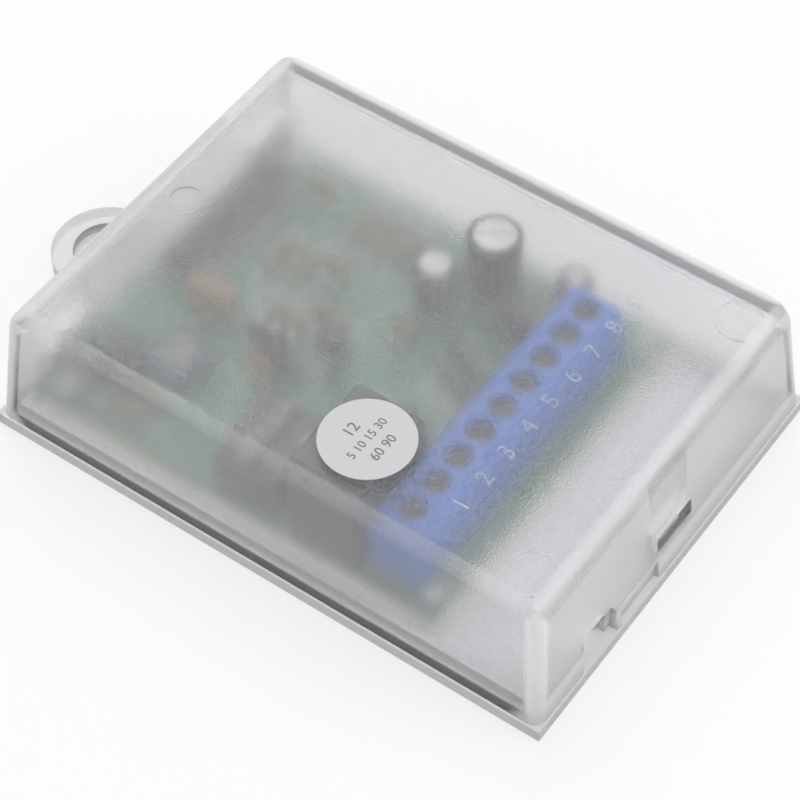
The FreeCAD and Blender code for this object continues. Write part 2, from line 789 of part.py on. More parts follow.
def terminal_housing():
    """The blue moulding: a chamfered block with a well, a cavity and a wire entry for each way."""
    owner = body("TerminalHousing")
    middle = "(terminal_x + (terminal_front - terminal_back) / 2)"
    outline = sketch(owner, "HousingOutline", x=middle, y=TERMINAL_Y, z=BOARD_TOP)
    draw_rectangle(outline, "terminal_front + terminal_back", TERMINAL_LENGTH)
    block = pad(owner, outline, "terminal_height", name="HousingBlock")
    top = value(f"{BOARD_TOP} + terminal_height")
    names = [f"Edge{i}" for i, e in enumerate(block.Shape.Edges, start=1)
             if abs(e.CenterOfMass.z - top) < 1e-6 and abs(e.CenterOfMass.y - value(TERMINAL_Y)) < 1e-6]
    bevel = owner.newObject("PartDesign::Chamfer", "HousingBevel")
    bevel.Base = (block, names)
    bind(bevel, "Size", "terminal_chamfer")
    doc.recompute()
    cuts = []
    room = sketch(owner, "CavityOutline", x="terminal_x + (cavity_front - cavity_back) / 2",
                  y="first_way_y", z=LEDGE_Z)
    draw_rectangle(room, "cavity_front + cavity_back", "cavity_width")
    cuts.append(pocket(owner, room, "cavity_height", upwards=False, name="Cavity"))
    well = draw_circle(sketch(owner, "WellOutline", x="terminal_x", y="first_way_y", z=HEAD_Z), "well_radius")
    cuts.append(pocket(owner, well, "terminal_height", name="Well"))
    neck = sketch(owner, "NeckHoleOutline", x="terminal_x", y="first_way_y", z=LEDGE_Z)
    draw_circle(neck, "screw_radius + 4 * thread_gap")
    cuts.append(pocket(owner, neck, "ledge", name="NeckHole"))
    entry = sketch(owner, "EntryOutline", role="YZ_Plane", x="first_way_y",
                   y=f"{CAVITY_FLOOR} + entry_height / 2", z="terminal_x + cavity_front")
    draw_rectangle(entry, "clamp_width - clamp_wall", "entry_height")
    cuts.append(pocket(owner, entry, "terminal_front", name="WireEntry"))
    foot = sketch(owner, "PinSlotOutline", x=RISER_X, y="first_way_y", z=BOARD_TOP)
    draw_rectangle(foot, "pin_side + clamp_clear", "pin_side + clamp_clear")
    cuts.append(pocket(owner, foot, "terminal_floor", name="PinSlot"))
    repeat(owner, cuts, "XZ_Plane", "(way_count - 1) * way_pitch", "way_count", name="Ways")
    return node(owner, "terminal_housing")


def terminal_pins():
    """A contact bar inside each clamp, its riser and its solder pin."""
    made = []
    for way in range(int(SIZES["way_count"])):
        y = f"(first_way_y + {way} * way_pitch)"
        back = "(terminal_x - cavity_back + clamp_clear)"
        length = "(cavity_front + cavity_back - 2 * clamp_clear)"
        bar = box(f"{back} + {length} / 2", y, BAR_Z, length, "bar_width", "bar_thick", name="ContactBar")
        riser = box(RISER_X, y, CAVITY_FLOOR, "riser_thick", "bar_width",
                    f"{BAR_Z} + bar_thick - {CAVITY_FLOOR}", name="Riser")
        leg = box(RISER_X, y, LEAD_BOTTOM, "riser_thick", "pin_side",
                  f"{CAVITY_FLOOR} - {LEAD_BOTTOM}", name="SolderPin")
        made.append(fuse(bar, riser, leg))
    return node(group(*made, name="TerminalPins"), "terminal_pins")


def terminal_screw(way):
    """One slotted clamp screw, its head in the well."""
    y = f"(first_way_y + {way} * way_pitch)"
    head = rod("terminal_x", y, HEAD_Z, "screw_head_radius", "screw_head_height", name="ScrewHead")
    tip = f"({BAR_Z} + bar_thick + clamp_clear)"
    shank = rod("terminal_x", y, tip, "screw_radius", f"{HEAD_Z} - {tip}", name="ScrewShank")
    slot = box("terminal_x", y, f"{HEAD_Z} + screw_head_height / 2", "3 * screw_head_radius",
               "screw_slot", "screw_head_height", name="ScrewSlot")
    return node(cut(fuse(head, shank), slot, name=f"ClampScrew{way + 1}"), f"terminal_screw_{way + 1}")


def wire_clamp(way):
    """One rising clamp: a short square tube that the screw draws up."""
    y = f"(first_way_y + {way} * way_pitch)"
    frame = box("terminal_x", y, CLAMP_Z, "clamp_length", "clamp_width", "clamp_height", name="ClampFrame")
    window = box("terminal_x", y, f"{CLAMP_Z} + clamp_wall", "2 * clamp_length",
                 "clamp_width - 2 * clamp_wall", "clamp_height - clamp_wall - clamp_top", name="ClampWindow")
    thread = rod("terminal_x", y, f"{CLAMP_Z} + clamp_height / 2", "screw_radius + thread_gap",
                 "clamp_height", name="ClampThread")
    return node(cut(frame, window, thread, name=f"Clamp{way + 1}"), f"wire_clamp_{way + 1}")


# Timer chip.

def timer_chip():
    """The long dark chip body with its end notch."""
    z = f"({BOARD_TOP} + chip_stand)"
    low = box("chip_x", "chip_y", z, "chip_width", "chip_length", "chip_height / 2", name="ChipLow")
    wedge = doc.addObject("Part::Wedge", "ChipTop")
    lean = 0.35
    for name, text in (("Xmin", "0"), ("Ymin", "0"), ("Zmin", "0"), ("X2min", str(lean)),
                       ("Z2min", str(lean)), ("Xmax", "chip_width"), ("Ymax", "chip_height / 2"),
                       ("Zmax", "chip_length"), ("X2max", f"chip_width - {lean}"),
                       ("Z2max", f"chip_length - {lean}")):
        bind(wedge, name, text)
    place(wedge, "chip_x - chip_width / 2", "chip_y + chip_length / 2", f"{z} + chip_height / 2",
          FreeCAD.Rotation(FreeCAD.Vector(1, 0, 0), 90))
    notch = rod("chip_x", "chip_y + chip_length / 2", f"{z} + chip_height - 0.6", "chip_notch_radius", "2",
                name="ChipNotch")
    return node(cut(fuse(low, wedge), notch, name="Chip"), "timer_chip")


def chip_pins():
    """Two rows of bent pins: shoulder, drop and the thin end through the board."""
    made = []
    z = f"({BOARD_TOP} + chip_stand + chip_height / 2)"
    for x, y in chip_pin_places():
        side = 1 if x.endswith("+ chip_row / 2)") else -1
        reach = "((chip_row - chip_width + chip_pin_thick) / 2)"
        shoulder = box(f"{x} - ({side}) * ({reach} - chip_pin_thick) / 2", y, f"{z} - chip_pin_thick",
                       reach, "chip_pin_width", "chip_pin_thick", name="PinShoulder")
        drop = box(x, y, BOARD_TOP, "chip_pin_thick", "chip_pin_width", f"{z} - {BOARD_TOP}", name="PinDrop")
        tail = box(x, y, LEAD_BOTTOM, "chip_pin_thick", "chip_pin_width / 3", f"{z} - {LEAD_BOTTOM}",
                   name="PinTail")
        made.append(fuse(shoulder, drop, tail))
    return node(group(*made, name="ChipPins"), "timer_chip_pins")


def chip_pin_places():
    """Where the chip's pins stand, as formulas."""
    spots = []
    for sign in ("-", "+"):
        for pin in range(int(SIZES["chip_pins_per_side"])):
            spots.append((f"(chip_x {sign} chip_row / 2)",
                          f"(chip_y + ({pin} - (chip_pins_per_side - 1) / 2) * chip_pin_pitch)"))
    return spots


# Radial capacitors.

def capacitor(size, label):
    """A crimped can, and the sleeve shrunk over it."""
    x, y, radius = f"{size}_x", f"{size}_y", f"{size}_radius"
    z = f"({BOARD_TOP} + cap_stand)"
    tall = f"({size}_height - cap_stand)"
    core = rod(x, y, z, f"{radius} - sleeve_thick", f"{tall} - can_crown", name="Can")
    crown = cone(x, y, f"{z} + {tall} - can_crown", f"{radius} - sleeve_thick",
                 f"{radius} - sleeve_thick - can_crown", "can_crown", name="CanCrown")
    scores = [box(x, y, f"{z} + {tall} - can_crown / 2", a, b, "can_crown", name="CanScore")
              for a, b in ((f"1.2 * {radius}", "can_crown"), ("can_crown", f"1.2 * {radius}"))]
    leads = [rod(x_lead, y_lead, LEAD_BOTTOM, "lead_radius", f"{z} - {LEAD_BOTTOM}", name="CanLead")
             for x_lead, y_lead in capacitor_lead_places(size)]
    node(fuse(cut(fuse(core, crown), *scores), *leads, name="CanBody"), f"{label}_can")
    outer = rod(x, y, z, radius, f"{tall} - can_crown / 2", name="Sleeve")
    inner = rod(x, y, z, f"{radius} - sleeve_thick", f"2 * {tall}", name="SleeveBore")
    return node(cut(outer, inner, name="SleeveShell"), f"{label}_sleeve")


CAPACITORS = (("tall_cap", "tall_capacitor"), ("low_cap", "low_capacitor"), ("small_cap", "small_capacitor"))


def capacitor_lead_places(size):
    """Where one capacitor's wires go through the board."""
    return [(f"({size}_x {sign} {size}_radius * 0.45)", f"{size}_y") for sign in ("-", "+")]


# Relay. The coil stands upright beside the contacts, and the armature lies across its top.

RELAY_FLOOR = f"({BOARD_TOP} + relay_stand + relay_base_thick)"
COIL_Y = "(relay_y + coil_shift)"
COIL_Z = f"({RELAY_FLOOR} + yoke_thick + bobbin_flange)"
POLE_TOP = f"({COIL_Z} + coil_length + bobbin_flange + pole_thick)"
YOKE_Y = f"({COIL_Y} + bobbin_radius + yoke_clear + yoke_thick / 2)"
ARMATURE_Z = f"({POLE_TOP} + armature_gap)"
CONTACT_Y = f"({COIL_Y} - bobbin_radius - armature_overhang + contact_radius + contact_margin)"


def relay_cover():
    """The dark cover, open below."""
    owner = body("RelayCover")
    outline = sketch(owner, "CoverOutline", x="relay_x", y="relay_y", z=f"{BOARD_TOP} + relay_stand")
    draw_rectangle(outline, "relay_width", "relay_length")
    block = pad(owner, outline, "relay_height - relay_stand", name="CoverBlock")
    foot = value(f"{BOARD_TOP} + relay_stand")
    edges = round_edges(owner, block, "relay_round", lambda e: e.CenterOfMass.z > foot + 1e-3, name="CoverEdges")
    hollow = sketch(owner, "CoverHollow", x="relay_x", y="relay_y", z=f"{BOARD_TOP} + relay_stand")
    draw_rectangle(hollow, "relay_width - 2 * relay_wall", "relay_length - 2 * relay_wall")
    room = pocket(owner, hollow, "relay_height - relay_stand - relay_wall", name="CoverRoom")
    owner.Tip = room
    doc.recompute()
    return node(owner, "relay_cover")


def relay_frame():
    """The relay's base, bobbin, coil, yoke with core, and its fixed contact blades."""
    floor = box("relay_x", "relay_y", f"{BOARD_TOP} + relay_stand", "relay_width - 2 * relay_wall - 2 * relay_fit",
                "relay_length - 2 * relay_wall - 2 * relay_fit", "relay_base_thick", name="RelayBase")
    slots = [box("relay_x", y, BOARD_TOP, "spring_width", "blade_thick", "4 * relay_base_thick",
                 name="BladeSlot") for y in blade_places()]
    slots += [rod(x, y, BOARD_TOP, "lead_radius", "4 * relay_base_thick", name="CoilPinHole")
              for x, y in relay_coil_pin_places()]
    node(cut(floor, *slots, name="RelayFloor"), "relay_base")

    tube = rod("relay_x", COIL_Y, f"{COIL_Z} - bobbin_flange", "core_radius + bobbin_flange",
               "coil_length + 2 * bobbin_flange", name="BobbinTube")
    flanges = [rod("relay_x", COIL_Y, z, "bobbin_radius", "bobbin_flange", name="BobbinFlange")
               for z in (f"{COIL_Z} - bobbin_flange", f"{COIL_Z} + coil_length")]
    hole = rod("relay_x", COIL_Y, RELAY_FLOOR, "core_radius", "relay_height", name="BobbinBore")
    node(cut(fuse(tube, *flanges), hole, name="Bobbin"), "relay_bobbin")

    wound = rod("relay_x", COIL_Y, COIL_Z, "coil_radius", "coil_length", name="Winding")
    within = rod("relay_x", COIL_Y, COIL_Z, "core_radius + bobbin_flange", "coil_length", name="WindingBore")
    node(cut(wound, within, name="Coil"), "relay_coil")

    plate_length = f"({YOKE_Y} + yoke_thick / 2 - {COIL_Y} + core_radius + bobbin_flange)"
    plate = box("relay_x", f"{YOKE_Y} + yoke_thick / 2 - {plate_length} / 2", RELAY_FLOOR, "yoke_width",
                plate_length, "yoke_thick", name="YokePlate")
    leg = box("relay_x", YOKE_Y, RELAY_FLOOR, "yoke_width", "yoke_thick",
              f"{ARMATURE_Z} - thread_gap - {RELAY_FLOOR}", name="YokeLeg")
    core = rod("relay_x", COIL_Y, RELAY_FLOOR, "core_radius", f"{POLE_TOP} - {RELAY_FLOOR}", name="Core")
    pole = rod("relay_x", COIL_Y, f"{POLE_TOP} - pole_thick", "pole_radius", "pole_thick", name="Pole")
    node(fuse(plate, leg, core, pole, name="Yoke"), "relay_yoke")

    blades = []
    tip_y = f"({CONTACT_Y} + contact_radius + contact_margin)"
    low_z = f"({ARMATURE_Z} - spring_thick - contact_thick - contact_gap - contact_thick - blade_thick)"
    high_z = f"({ARMATURE_Z} + contact_thick + contact_rest + contact_thick)"
    low_rivet = f"({low_z} + blade_thick)"
    high_rivet = f"({high_z} - contact_thick)"
    for place_y, reach_z, rivet_z in zip(blade_places(), (low_z, high_z), (low_rivet, high_rivet)):
        upright = box("relay_x", place_y, LEAD_BOTTOM, "spring_width", "blade_thick",
                      f"{reach_z} + blade_thick - {LEAD_BOTTOM}", name="BladeUpright")
        arm = box("relay_x", f"({place_y} - blade_thick / 2 + {tip_y}) / 2", reach_z, "spring_width",
                  f"{tip_y} - {place_y} + blade_thick / 2", "blade_thick", name="BladeArm")
        rivet = rod("relay_x", CONTACT_Y, rivet_z, "contact_radius", "contact_thick", name="FixedContact")
        blades.append(fuse(upright, arm, rivet))
    for x, y in relay_coil_pin_places():
        blades.append(rod(x, y, LEAD_BOTTOM, "lead_radius", f"{RELAY_FLOOR} - {LEAD_BOTTOM}", name="CoilPin"))
    return node(group(*blades, name="RelayTerminals"), "relay_terminals")


def relay_coil_pin_places():
    """Where the coil's two pins go through the board."""
    return [(f"(relay_x {sign} relay_width * 0.33)", f"({YOKE_Y} - yoke_clear)") for sign in ("-", "+")]


def blade_places():
    """Where the two fixed blades stand, from the relay's contact end inwards."""
    end = "(relay_y - relay_length / 2 + relay_wall + relay_fit + blade_inset + blade_thick / 2)"
    return [f"({end} + 2 * blade_thick)", end]


def relay_armature():
    """The hinged plate over the pole, with its contact spring."""
    back = f"({YOKE_Y} + yoke_thick / 2)"
    front = f"({COIL_Y} - bobbin_radius)"
    plate = box("relay_x", f"({back} + {front}) / 2", ARMATURE_Z, "armature_width", f"{back} - {front}",
                "armature_thick", name="ArmaturePlate")
    node(plate, "relay_armature")
    tip = f"({CONTACT_Y} - contact_radius - contact_margin)"
    leaf = box("relay_x", f"({front} + spring_reach + {tip}) / 2", f"{ARMATURE_Z} - spring_thick", "spring_width",
               f"{front} + spring_reach - {tip}", "spring_thick", name="SpringLeaf")
    button = rod("relay_x", CONTACT_Y, f"{ARMATURE_Z} - spring_thick - contact_thick", "contact_radius",
                 "2 * contact_thick + spring_thick", name="MovingContact")
    return node(fuse(leaf, button, name="ContactSpring"), "relay_contact_spring")


# Setting switch block, trimmer, start button, mode link.

SWITCH_LENGTH = "(switch_count * switch_pitch + switch_end)"
SLIDER_FLOOR = f"({BOARD_TOP} + switch_height - slider_depth)"


def switch_places():
    """The middle line of each slider, as a formula for Y."""
    return [f"(switch_y + ({n} - (switch_count - 1) / 2) * switch_pitch)"
            for n in range(int(SIZES["switch_count"]))]


def switch_block():
    """The dark block with one slot for each slider, and its pins."""
    block = box("switch_x", "switch_y", BOARD_TOP, "switch_width", SWITCH_LENGTH, "switch_height",
                name="SwitchBlock")
    slots = [box("switch_x", y, SLIDER_FLOOR, "slider_length + slider_travel + 2 * slider_gap",
                 "slider_width + 2 * slider_gap", "2 * slider_depth", name="SliderSlot")
             for y in switch_places()]
    legs = [rod(x, y, LEAD_BOTTOM, "lead_radius", f"{BOARD_TOP} - {LEAD_BOTTOM}", name="SwitchPin")
            for x, y in switch_pin_places()]
    return node(group(cut(block, *slots), *legs, name="SwitchBody"), "switch_block")


def switch_pin_places():
    """Where the switch block's pins go through the board."""
    return [(f"(switch_x {sign} chip_row / 2)", y) for y in switch_places() for sign in ("-", "+")]


def switch_slider(number, y):
    """One slider, standing a little above the block."""
    x = "(switch_x - slider_travel / 2)"
    tall = "(slider_depth + slider_rise)"
    slider = box(x, y, SLIDER_FLOOR, "slider_length", "slider_width", tall, name=f"Slider{number}")
    return node(slider, f"switch_slider_{number}")


def trimmer():
    """The square trimmer body and its slotted rotor."""
    block = box("trimmer_x", "trimmer_y", BOARD_TOP, "trimmer_side", "trimmer_side", "trimmer_height",
                name="TrimmerBlock")
    top = f"({BOARD_TOP} + trimmer_height)"
    seat = rod("trimmer_x", "trimmer_y", f"{top} - rotor_depth", "rotor_radius + rotor_gap",
               "2 * rotor_depth", name="RotorSeat")
    legs = [rod(x, y, LEAD_BOTTOM, "lead_radius", f"{BOARD_TOP} - {LEAD_BOTTOM}", name="TrimmerPin")
            for x, y in trimmer_pin_places()]
    node(group(cut(block, seat), *legs, name="TrimmerBody"), "trimmer_body")
    rotor = rod("trimmer_x", "trimmer_y", f"{top} - rotor_depth", "rotor_radius", "rotor_depth + rotor_rise",
                name="RotorDisc")
    slot = box("trimmer_x", "trimmer_y", f"{top} + rotor_rise - rotor_slot_depth", "1.5 * rotor_radius",
               "rotor_slot", "2 * rotor_slot_depth", name="RotorSlot")
    return node(cut(rotor, slot, name="Rotor"), "trimmer_rotor")


def trimmer_pin_places():
    """Where the trimmer's pins go through the board."""
    return [("(trimmer_x - header_pitch)", "(trimmer_y - header_pitch)"),
            ("(trimmer_x + header_pitch)", "(trimmer_y - header_pitch)"),
            ("trimmer_x", "(trimmer_y + header_pitch)")]


def start_button():
    """The square push-button body and its plunger, which rests on its own travel."""
    block = box("button_x", "button_y", BOARD_TOP, "button_side", "button_side", "button_height",
                name="ButtonBlock")
    top = f"({BOARD_TOP} + button_height)"
    guide = rod("button_x", "button_y", f"{top} - button_hollow - plunger_travel", "plunger_radius + plunger_gap",
                "button_height", name="PlungerGuide")
    legs = [rod(x, y, LEAD_BOTTOM, "lead_radius", f"{BOARD_TOP} - {LEAD_BOTTOM}", name="ButtonPin")
            for x, y in button_pin_places()]
    node(group(cut(block, guide), *legs, name="ButtonBody"), "start_button_body")
    plunger = rod("button_x", "button_y", f"{top} - button_hollow", "plunger_radius",
                  "button_hollow + plunger_rise", name="Plunger")
    return node(plunger, "start_button_plunger")


def button_pin_places():
    """Where the push-button's pins go through the board."""
    return [(f"(button_x {a} button_side * 0.36)", f"(button_y {b} button_side * 0.36)")
            for a in ("-", "+") for b in ("-", "+")]


def header_places():
    """The middle of each header pin, as a formula for X."""
    return [f"(header_x + ({n} - (header_pins - 1) / 2) * header_pitch)"
            for n in range(int(SIZES["header_pins"]))]


def mode_header():
    """Three square pins in their strip, and the link that joins two of them."""
    strip = box("header_x", "header_y", BOARD_TOP, "header_pins * header_pitch", "header_depth",
                "header_height", name="HeaderStrip")
    pins = [box(x, "header_y", LEAD_BOTTOM, "header_pin_side", "header_pin_side",
                f"{BOARD_TOP} + header_height + header_pin_rise - {LEAD_BOTTOM}", name="HeaderPin")
            for x in header_places()]
    holes = [box(x, "header_y", BOARD_TOP, "header_pin_side", "header_pin_side", "header_height",
                 name="StripHole") for x in header_places()]
    node(cut(strip, *holes, name="Strip"), "mode_header")
    node(group(*pins, name="HeaderPins"), "mode_header_pins")
    middle = f"(({header_places()[0]} + {header_places()[1]}) / 2)"
    cap = box(middle, "header_y", f"{BOARD_TOP} + header_height + link_gap", "2 * header_pitch - 0.2",
              "header_depth", "link_height", name="LinkCap")
    sockets = [box(x, "header_y", f"{BOARD_TOP} + header_height", "header_pin_side + 2 * link_gap",
                   "header_pin_side + 2 * link_gap", "2 * link_height", name="LinkSocket")
               for x in header_places()[:2]]
    return node(cut(cap, *sockets, name="Link"), "mode_link")


# Lamp and small parts.

def status_lamp():
    """The domed lamp on its two long legs."""
    z = f"({BOARD_TOP} + lamp_stand)"
    flange = rod("lamp_x", "lamp_y", z, "lamp_flange_radius", "lamp_flange_height", name="LampFlange")
    barrel = rod("lamp_x", "lamp_y", z, "lamp_radius", "lamp_height - lamp_radius", name="LampBarrel")
    dome = ball("lamp_x", "lamp_y", f"{z} + lamp_height - lamp_radius", "lamp_radius", name="LampDome")
    lens = fuse(flange, barrel, dome, name="Lens")
    legs = [box(x, y, LEAD_BOTTOM, "lead_side", "lead_side", f"{z} - {LEAD_BOTTOM}", name="LampLeg")
            for x, y in lamp_lead_places()]
    return node(group(lens, *legs, name="Lamp"), "status_lamp")


def lamp_lead_places():
    """Where the lamp's legs go through the board."""
    return [("lamp_x", f"(lamp_y {sign} lamp_lead_pitch / 2)") for sign in ("-", "+")]


def transistors():
    """The relay's driver and the regulator: round-backed cases on three legs."""
    made = []
    z = f"({BOARD_TOP} + transistor_stand)"
    for part in TRANSISTORS:
        x, y = f"{part}_x", f"{part}_y"
        case = rod(x, y, z, "transistor_radius", "transistor_height", name="TransistorCase")
        flat = box(x, f"{y} - transistor_flat - transistor_radius", z, "3 * transistor_radius",
                   "2 * transistor_radius", "transistor_height", name="TransistorFlat")
        made.append(cut(case, flat))
    for x, y in transistor_lead_places():
        made.append(box(x, y, LEAD_BOTTOM, "lead_side", "lead_side", f"{z} - {LEAD_BOTTOM}",
                        name="TransistorLeg"))
    return node(group(*made, name="Transistors"), "transistors")


def transistor_lead_places():
    """Where the legs of both cases go through the board."""
    return [(f"({part}_x + {k} * header_pitch / 2)", f"{part}_y") for part in TRANSISTORS for k in (-1, 0, 1)]


def axial(part, along_y, radius, length, span, ends=None):
    """A round body lying on its side, with its two wires bent down through the board."""
    x, y = f"{part}_x", f"{part}_y"
    z = f"({BOARD_TOP} + resistor_rise)"
    turn = ALONG_Y if along_y else ALONG_X

    def at(shift):
        """The point that is shifted along the body's own line."""
        return (f"{x}", f"({y} + {shift})") if along_y else (f"({x} + {shift})", f"{y}")

    start = at(f"(0 - ({length}) / 2)")
    parts = [rod(*start, z, radius, length, turn, name="AxialBody")]
    if ends is not None:
        cap_radius, cap_length = ends
        for shift in (f"(0 - ({length}) / 2)", f"(({length}) / 2 - {cap_length})"):
            parts.append(rod(*at(shift), z, cap_radius, cap_length, turn, name="AxialEnd"))
    wire = rod(*at(f"(0 - ({span}) / 2)"), z, "lead_radius", span, turn, name="AxialWire")
    parts.append(wire)
    for x_leg, y_leg in axial_lead_places(part, along_y, span):
        parts.append(rod(x_leg, y_leg, LEAD_BOTTOM, "lead_radius", f"{z} - {LEAD_BOTTOM}", name="AxialLeg"))
        parts.append(ball(x_leg, y_leg, z, "lead_radius", name="AxialBend"))
    return fuse(*parts, name="Axial")


def axial_lead_places(part, along_y, span):
    """Where an axial part's wires go through the board."""
    x, y = f"{part}_x", f"{part}_y"
    shifts = (f"(0 - ({span}) / 2)", f"(({span}) / 2)")
    return [(x, f"({y} + {s})") if along_y else (f"({x} + {s})", y) for s in shifts]


def small_parts():
    """Resistors, diodes, ceramic discs and the resonator."""
    ends = ("resistor_cap_radius", "resistor_cap_length")
    row = [axial(part, along, "resistor_radius", "resistor_length", "resistor_span", ends)
           for part, along in RESISTORS.items()]
    node(group(*row, name="Resistors"), "resistors")
    row = [axial(part, along, "diode_radius", "diode_length", "diode_span") for part, along in DIODES.items()]
    node(group(*row, name="Diodes"), "diodes")
    made = []
    for part in DISCS:
        coin = rod(f"{part}_x", f"{part}_y - disc_thick / 2", f"{BOARD_TOP} + disc_rise", "disc_radius",
                   "disc_thick", ALONG_Y, name="Disc")
        legs = [rod(a, b, LEAD_BOTTOM, "lead_radius", f"{BOARD_TOP} + disc_rise - {LEAD_BOTTOM}",
                    name="DiscLeg") for a, b in disc_lead_places(part)]
        made.append(fuse(coin, *legs))
    node(group(*made, name="Discs"), "ceramic_discs")
    case = box("resonator_x", "resonator_y", f"{BOARD_TOP} + cap_stand", "resonator_length",
               "resonator_thick", "resonator_height", name="ResonatorCase")
    legs = [rod(x, y, LEAD_BOTTOM, "lead_radius", f"{BOARD_TOP} + cap_stand - {LEAD_BOTTOM}",
                name="ResonatorLeg") for x, y in resonator_lead_places()]
    return node(fuse(case, *legs, name="Resonator"), "resonator")


def disc_lead_places(part):
    """Where one disc's wires go through the board."""
    return [(f"({part}_x {sign} disc_pitch / 2)", f"{part}_y") for sign in ("-", "+")]


def resonator_lead_places():
    """Where the resonator's wires go through the board."""
    return [(f"(resonator_x + {k} * header_pitch)", "resonator_y") for k in (-1, 0, 1)]


def lead_places():
    """Every lead hole in the board: x, y and the radius that it has to pass."""
    ways = range(int(SIZES["way_count"]))
    holes = [(RISER_X, f"(first_way_y + {way} * way_pitch)", "(pin_side * 0.65)") for way in ways]
    holes += [(x, y, "(chip_pin_width * 0.2)") for x, y in chip_pin_places()]
    holes.append(("relay_x", f"(({blade_places()[0]} + {blade_places()[1]}) / 2)", "(spring_width * 0.56)"))
    holes += [(x, "header_y", "(header_pin_side * 0.7)") for x in header_places()]
    square = "(lead_side * 0.7)"
    holes += [(x, y, square) for x, y in lamp_lead_places() + transistor_lead_places()]
    round_leads = switch_pin_places() + trimmer_pin_places() + relay_coil_pin_places()
    for size, _ in CAPACITORS:
        round_leads += capacitor_lead_places(size)
    round_leads += button_pin_places() + resonator_lead_places()
    for part, along in RESISTORS.items():
        round_leads += axial_lead_places(part, along, "resistor_span")
    for part, along in DIODES.items():
        round_leads += axial_lead_places(part, along, "diode_span")
    for part in DISCS:
        round_leads += disc_lead_places(part)
    return holes + [(x, y, "lead_radius") for x, y in round_leads]


LEADS = lead_places()


def build():
    """Make every sub-part."""
    base_plate()
    lid()
    round_label()
    circuit_board()
    board_screws()
    terminal_housing()
    terminal_pins()
    for way in range(int(SIZES["way_count"])):
        terminal_screw(way)
        wire_clamp(way)
    timer_chip()
    chip_pins()
    for size, label in CAPACITORS:
        capacitor(size, label)
    relay_cover()
    relay_frame()
    relay_armature()
    switch_block()
    for number, y in enumerate(switch_places(), start=1):
        switch_slider(number, y)
    trimmer()
    start_button()
    mode_header()
    status_lamp()
    transistors()
    small_parts()
    doc.recompute()


def check():
    """Stop if any object failed, or any sub-part is empty or broken."""
    for item in doc.Objects:
        if "Invalid" in item.State or "Error" in item.State:
            raise RuntimeError(f"{item.Name} ({item.Label}) is {item.State}")
    for item in nodes:
        if item.Shape.isNull() or not item.Shape.isValid() or not item.Shape.Solids:
            raise RuntimeError(f"{item.Label} has no valid shape")


def export():
    """Write one file for each sub-part."""
    os.makedirs("parts", exist_ok=True)
    for item in nodes:
        item.Shape.exportStep(f"parts/{item.Label}.step")
        print(f"{item.Label}: {len(item.Shape.Solids)} solids, {item.Shape.Volume:.1f} mm3")


build()
check()
export()
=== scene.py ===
"""Timer circuit board in its clip-fastened case: the dressed model, its floor, light and camera.

The frosted lid stands on the pale base plate with its screw ear. Inside are the green board, the
blue screw terminal block, the relay, the timer chip, three capacitors and the small parts.
Lengths are in metres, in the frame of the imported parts.
"""

from __future__ import annotations

import json
import logging
import math
from dataclasses import dataclass, field
from enum import Enum

import bmesh
import bpy
from mathutils import Matrix, Vector

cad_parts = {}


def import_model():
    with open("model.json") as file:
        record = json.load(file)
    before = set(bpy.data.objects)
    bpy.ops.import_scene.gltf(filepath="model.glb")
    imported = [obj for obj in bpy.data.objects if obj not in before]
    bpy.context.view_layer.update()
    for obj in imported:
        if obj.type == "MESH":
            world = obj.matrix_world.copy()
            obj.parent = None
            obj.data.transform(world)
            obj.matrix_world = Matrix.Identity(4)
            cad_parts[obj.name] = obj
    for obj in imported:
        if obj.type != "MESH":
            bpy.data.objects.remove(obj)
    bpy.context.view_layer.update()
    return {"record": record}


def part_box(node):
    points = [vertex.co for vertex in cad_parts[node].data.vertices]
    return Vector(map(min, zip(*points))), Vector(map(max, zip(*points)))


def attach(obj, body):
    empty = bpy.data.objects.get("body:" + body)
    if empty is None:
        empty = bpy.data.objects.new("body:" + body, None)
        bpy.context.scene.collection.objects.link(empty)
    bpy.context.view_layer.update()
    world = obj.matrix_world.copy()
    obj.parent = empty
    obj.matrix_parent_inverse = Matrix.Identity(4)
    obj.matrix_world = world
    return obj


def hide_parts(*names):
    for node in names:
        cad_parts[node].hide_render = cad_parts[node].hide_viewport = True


LOG = logging.getLogger("timer_board")
FINISH_PREFIX = "finish_"
MM = 0.001

# Points closer than WELD are merged, and places are sorted after rounding to PLACE_DIGITS.
WELD = 0.001 * MM
PLACE_DIGITS = 5

# Degrees: edges past these are sharp or softened, and faces within the last one lie flat together.
SHARP_ANGLE = 32.0
BEVEL_ANGLE = 40.0
FLAT_ANGLE = 1.0

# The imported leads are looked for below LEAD_CUT, and the round wires begin at LEAD_FOOT.
LEAD_CUT = 3.2 * MM
LEAD_FOOT = 3.0 * MM

# How finely wires, their bends and the figures are divided.
WIRE_SIDES = 12
BEND_STEPS = 4
FIGURE_STEPS = 3

Colour = tuple[float, float, float]
Point = tuple[float, float, float]
Place = tuple[Point, Point]
Outline = tuple[tuple[float, float], ...]
Profile = list[tuple[float, float]]
Box = tuple[Vector, Vector]


# Nodes and shader maths.

def fill(tree: bpy.types.NodeTree, node: bpy.types.Node, inputs: dict) -> None:
    """Set or link a node's inputs.

    Args:
        tree: the node's tree.
        node: the node.
        inputs: values or sockets by input identifier, or else by input name or number.
    """
    for key, value in inputs.items():
        found = [slot for slot in node.inputs if slot.identifier == key]
        slot = found[0] if found else node.inputs[key]
        if isinstance(value, Socket):
            tree.links.new(value.socket, slot)
        elif isinstance(value, bpy.types.NodeSocket):
            tree.links.new(value, slot)
        elif slot.type == "RGBA":
            slot.default_value = (*value, 1.0)
        else:
            slot.default_value = value


